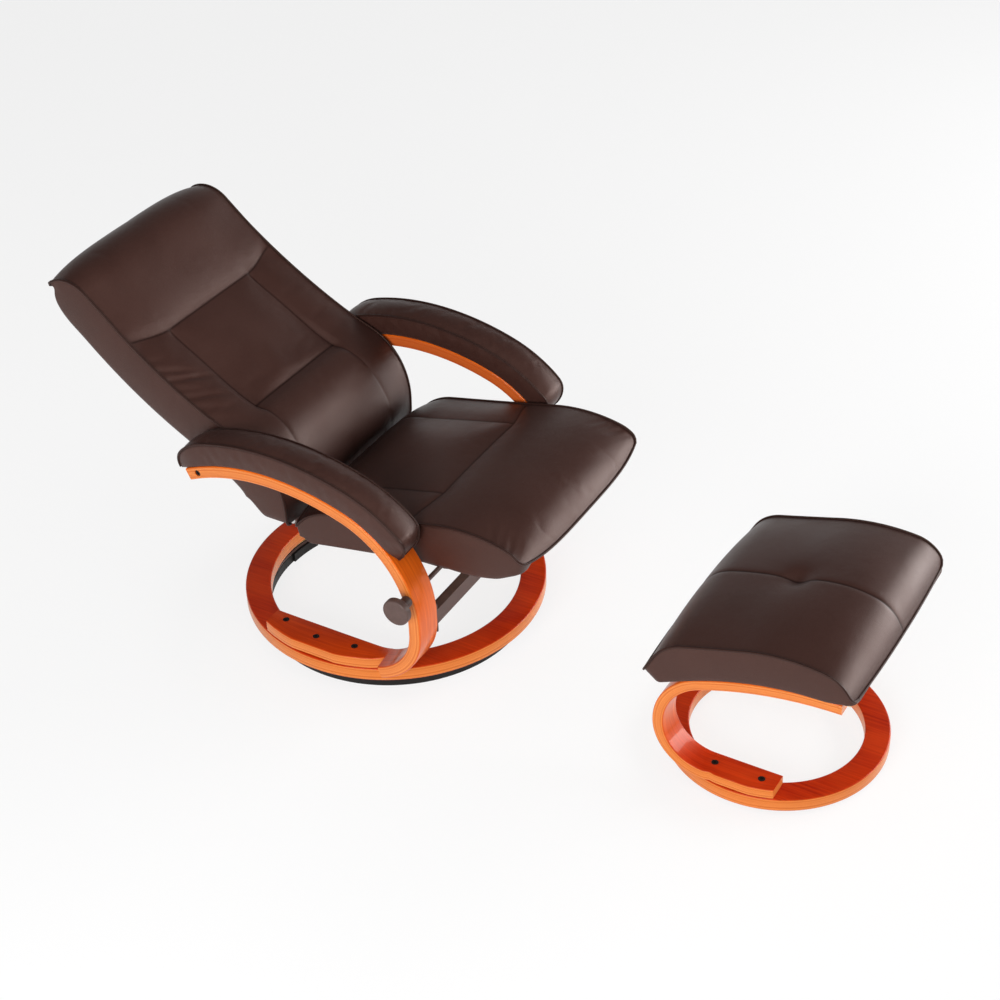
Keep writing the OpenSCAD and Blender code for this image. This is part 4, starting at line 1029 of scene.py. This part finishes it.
def back_shade(mark):
    # Painted shade on the cross seam, the head seam and the side seams.
    head = 0.9 * (mark.row == back_head) * (1 - smooth_step(abs(mark.share), 0.95, 1.0))
    sides = (mark.column in long_seams) * smooth_step(mark.row, 12, back_cross) * (mark.row <= back_head)
    # Painted shade over the lower end of the back, where it meets the seat.
    tuck_shade = 0.95 * (1 - smooth_step(mark.length, 0.02, 0.10))
    return max(on_cross_seam(mark), head, 0.7 * sides, tuck_shade)


def flank_folds(mark):
    """A few shallow wrinkles that run in from the piping of the right flank."""
    total = 0
    for place, deep, slope, reach in ((0.474, 0.0020, 0.10, -0.78), (0.448, 0.0042, 0.17, -0.64),
                                      (0.419, 0.0048, 0.13, -0.56), (0.394, 0.0026, 0.21, -0.74),
                                      (0.367, 0.0038, 0.15, -0.60), (0.333, 0.0020, 0.19, -0.72)):
        fold = deep * near(mark.length + slope * (mark.share + 1), place, 0.0068)
        total += fold * (1 - smooth_step(mark.share, reach - 0.2, reach))
    return -total * smooth_step(mark.share, -1.0, -0.975)


folded(back, flank_folds)
paint_shade(back, back_last, back_shade)
for hand, points in zip(("right", "left"), seam_points(back, back_last)):
    piping(hand + "_back_piping", points, "back", closed=False)
softened(back, "back", "back_cushion")
print("the back has", len(back.data.polygons), "squares")

# %% [markdown]
# ## The back's rear panel
# A plain panel of the same leather is pulled over thin wadding and closes the back from
# behind. It is a flat cushion of its own whose top side faces the rear.
# %% Sew the rear panel
panel_low, panel_high = 0.0505, frame_to + 0.009


def panel_top(d, v):
    risen = sqrt(sin(pi * (d - panel_low + 0.001) / (panel_high - panel_low + 0.002)))
    return beside(back_at(d), back_depth(d) + 0.005 * (1 - abs(v) ** 4) * risen)


def panel_under(d):
    inner = beside(back_at(d), 0.0846)
    return [(0.2240, *inner), (0.15, *inner), (0, *inner)]


panel_last = 60
panel = finished("back_rear_leather", leather_form(
    lambda v: spaced([panel_low, panel_high], [panel_last]), lambda d: spaced([-1, 1], [40]),
    lambda d: 0.2242, panel_top, panel_under, 3, 0.0))
# Painted shade round the panel's edges.
paint_shade(panel, panel_last)
softened(panel, "back", "back_panel")
print("the rear panel has", len(panel.data.polygons), "squares")

# %% [markdown]
# ## The armrest pads
# Each pad is a long narrow cushion bent round the arm. Its top panel lies between two piping
# seams that draw together where the pad runs out at the front, and again at the rear. The
# outer edge stands a little higher than the inner one. One pad is sewn and blown up, and the
# other is its mirror image.
# %% Sew the armrest pads
pad_from = length_of(arm_legs[:3]) + 0.160
pad_to = length_of(arm_legs) + 0.018
pad_mid = (arm_inner + arm_outer) / 2


def pad_height(d):
    nose = max(0.0, 1 - (d - pad_from) / 0.033)
    tail = max(0.0, 1 - (pad_to - d) / 0.088)
    return 0.050 * max(0.1, sqrt(max(0, 1 - nose * nose)) * sqrt(max(0, 1 - tail * tail)))


def pad_half(d):
    nose = max(0.0, 1 - (d - pad_from) / 0.050)
    tail = max(0.0, 1 - (pad_to - d) / 0.060)
    return 0.0355 * (1 - 0.42 * nose ** 2.5 - 0.30 * tail ** 2.5)


def pad_top(d, v):
    height = pad_height(d)
    crown = (0.003 + 0.007 * puffed_share) * (1 - v * v) + 0.0025 * v
    return beside(walk(arm_start, arm_legs, d), -height - crown * height / 0.050)


def pad_under(d):
    under = beside(walk(arm_start, arm_legs, d), -0.0006)
    return [(pad_half(d) - 0.001, *under), (0, *under)]


def pad_crowd(share):
    return (1 - cos(pi * share)) / 2


pad_last = 92
pad_rows = [pad_from + (pad_to - pad_from) * (0.65 * pad_crowd(k / pad_last) + 0.35 * k / pad_last)
            for k in range(pad_last + 1)]
pad_form = leather_form(lambda v: pad_rows, lambda d: spaced([-1, -0.92, 0.92, 1], [1, 12, 1]),
                        pad_half, pad_top, pad_under, 8, 0.0015)
bmesh.ops.translate(pad_form, verts=pad_form.verts, vec=(pad_mid, 0, 0))
left_pad = finished("left_arm_leather", pad_form)


def pad_held(mark):
    return 0.0 if mark.kind in (BOXING, TOP) and mark.row not in (0, pad_last) else 1.0


swollen(left_pad, pad_held, pressure=4.0, slack=0.004, limit=0.006)
# Painted shade round the pad's piping.
paint_shade(left_pad, pad_last)
pad_seam = seam_points(left_pad, pad_last, 14)[2]
mirrored = bmesh.new()
mirrored.from_mesh(left_pad.data)
bmesh.ops.scale(mirrored, verts=mirrored.verts, vec=(-1, 1, 1))
right_pad = finished("right_arm_leather", mirrored)
for pad, side, hand in ((left_pad, 1, "left"), (right_pad, -1, "right")):
    softened(pad, "swivel_frame", hand + "_arm_pad")
    points = [Vector((side * p.x, p.y, p.z)) for p in pad_seam]
    piping(hand + "_arm_piping", points, "swivel_frame", radius=0.0024)
print("each pad has", len(left_pad.data.polygons), "squares")

# %% [markdown]
# ## The footstool's cushion
# Its top rises from the low rear edge, runs flat and falls to the front. One seam runs down
# its middle and is drawn down in the centre by a tuft, which pulls a shallow valley and a few
# folds into the leather round it. Piping goes all the way round the top.
# %% Sew the footstool's cushion
stool_at = walk(stool_start, stool_legs, length_of(stool_legs[:3]))
stool_lead = 0.090  # how far the cushion's base starts before the strips' last bend
stool_top_start = step(stool_at, run(0), -stool_lead)
stool_base_legs = [run(stool_lead), stool_legs[3], run(0.056)]
stool_base_length = stool_lead + stool_legs[3][0] + 0.02806
stool_cushion_legs = [run(0.053), bend(0.090, 46), run(0.128), bend(0.386, 24), bend(0.070, 66)]
stool_length = length_of(stool_cushion_legs)
rear_corner = beside(stool_top_start, -0.012)
stool_cushion_start = (rear_corner[0] - 0.0197, rear_corner[1] + 0.0067, 62)


def stool_share(d):
    return d / stool_length


def stool_half(d):
    return 0.2325 - 0.006 * sin(pi * stool_share(d)) - drawn_in(d, stool_length, 0.022)


def stool_tuft(d, v):
    return exp(-((stool_share(d) - 0.535) / 0.045) ** 2 - (v / 0.10) ** 2)


def stool_top(d, v):
    crown = (0.008 + 0.017 * puffed_share) * sqrt(sin(pi * (0.04 + 0.92 * stool_share(d))))
    crown += 0.0045 * near(stool_share(d), 0.27, 0.13) + 0.0035 * near(stool_share(d), 0.78, 0.10)
    ends = smooth_step(d, 0, 0.10) * (1 - smooth_step(d, stool_length - 0.02, stool_length))
    sewn = 0.0025 * near(v, 0, 0.014) * ends
    sewn += 0.006 * exp(-((stool_share(d) - 0.535) / 0.09) ** 2 - (v / 0.22) ** 2) + 0.010 * stool_tuft(d, v)
    return beside(walk(stool_cushion_start, stool_cushion_legs, d), sewn - crown * (1 - abs(v) ** 2.2))


def stool_under(d):
    base = walk(stool_top_start, stool_base_legs, stool_base_length * stool_share(d))
    high, low = beside(base, -0.0126), beside(base, -0.0008)
    ends = smooth_step(stool_share(d), -0.03, 0.02) * (1 - smooth_step(stool_share(d), 0.84, 1.0))
    low = mixed(high, low, ends)
    wide = stool_half(d)
    return [(wide, *low), (wide - 0.0132, *low), (wide - 0.0134, *high), (0, *high)]


middle_seam, stool_last = 32, 66  # the column on the seam, and the last row
stool_form = leather_form(lambda v: seamed(0, [0.05], stool_length, [5, 57], 0.004),
                          lambda d: seamed(-1, [0], 1, [30, 30], 0.017, 0.017),
                          stool_half, stool_top, stool_under)
for vert in stool_form.verts:
    wider = 0.009 * smooth_step(-vert.co.x, -0.2325, 0.2325)
    vert.co = in_stool(vert.co.x - wider, vert.co.y, vert.co.z)
stool = finished("footstool_leather", stool_form)


def stool_held(mark):
    if mark.kind != TOP or mark.row in (0, stool_last):
        return 0.0 if mark.kind == BOXING else 1.0
    return smooth_step(mark.row, 2, 18) if mark.column == middle_seam else 0.0


swollen(stool, stool_held, pressure=1.0, slack=0.0002, limit=0.010, calm=90)
# Painted shade along the middle seam, and round the piping.
paint_shade(stool, stool_last, lambda mark: 0.9 * (mark.column == middle_seam))
piping("footstool_piping", seam_points(stool, stool_last)[2], "footstool")
softened(stool, "footstool", "stool_cushion")
print("the footstool has", len(stool.data.polygons), "squares")
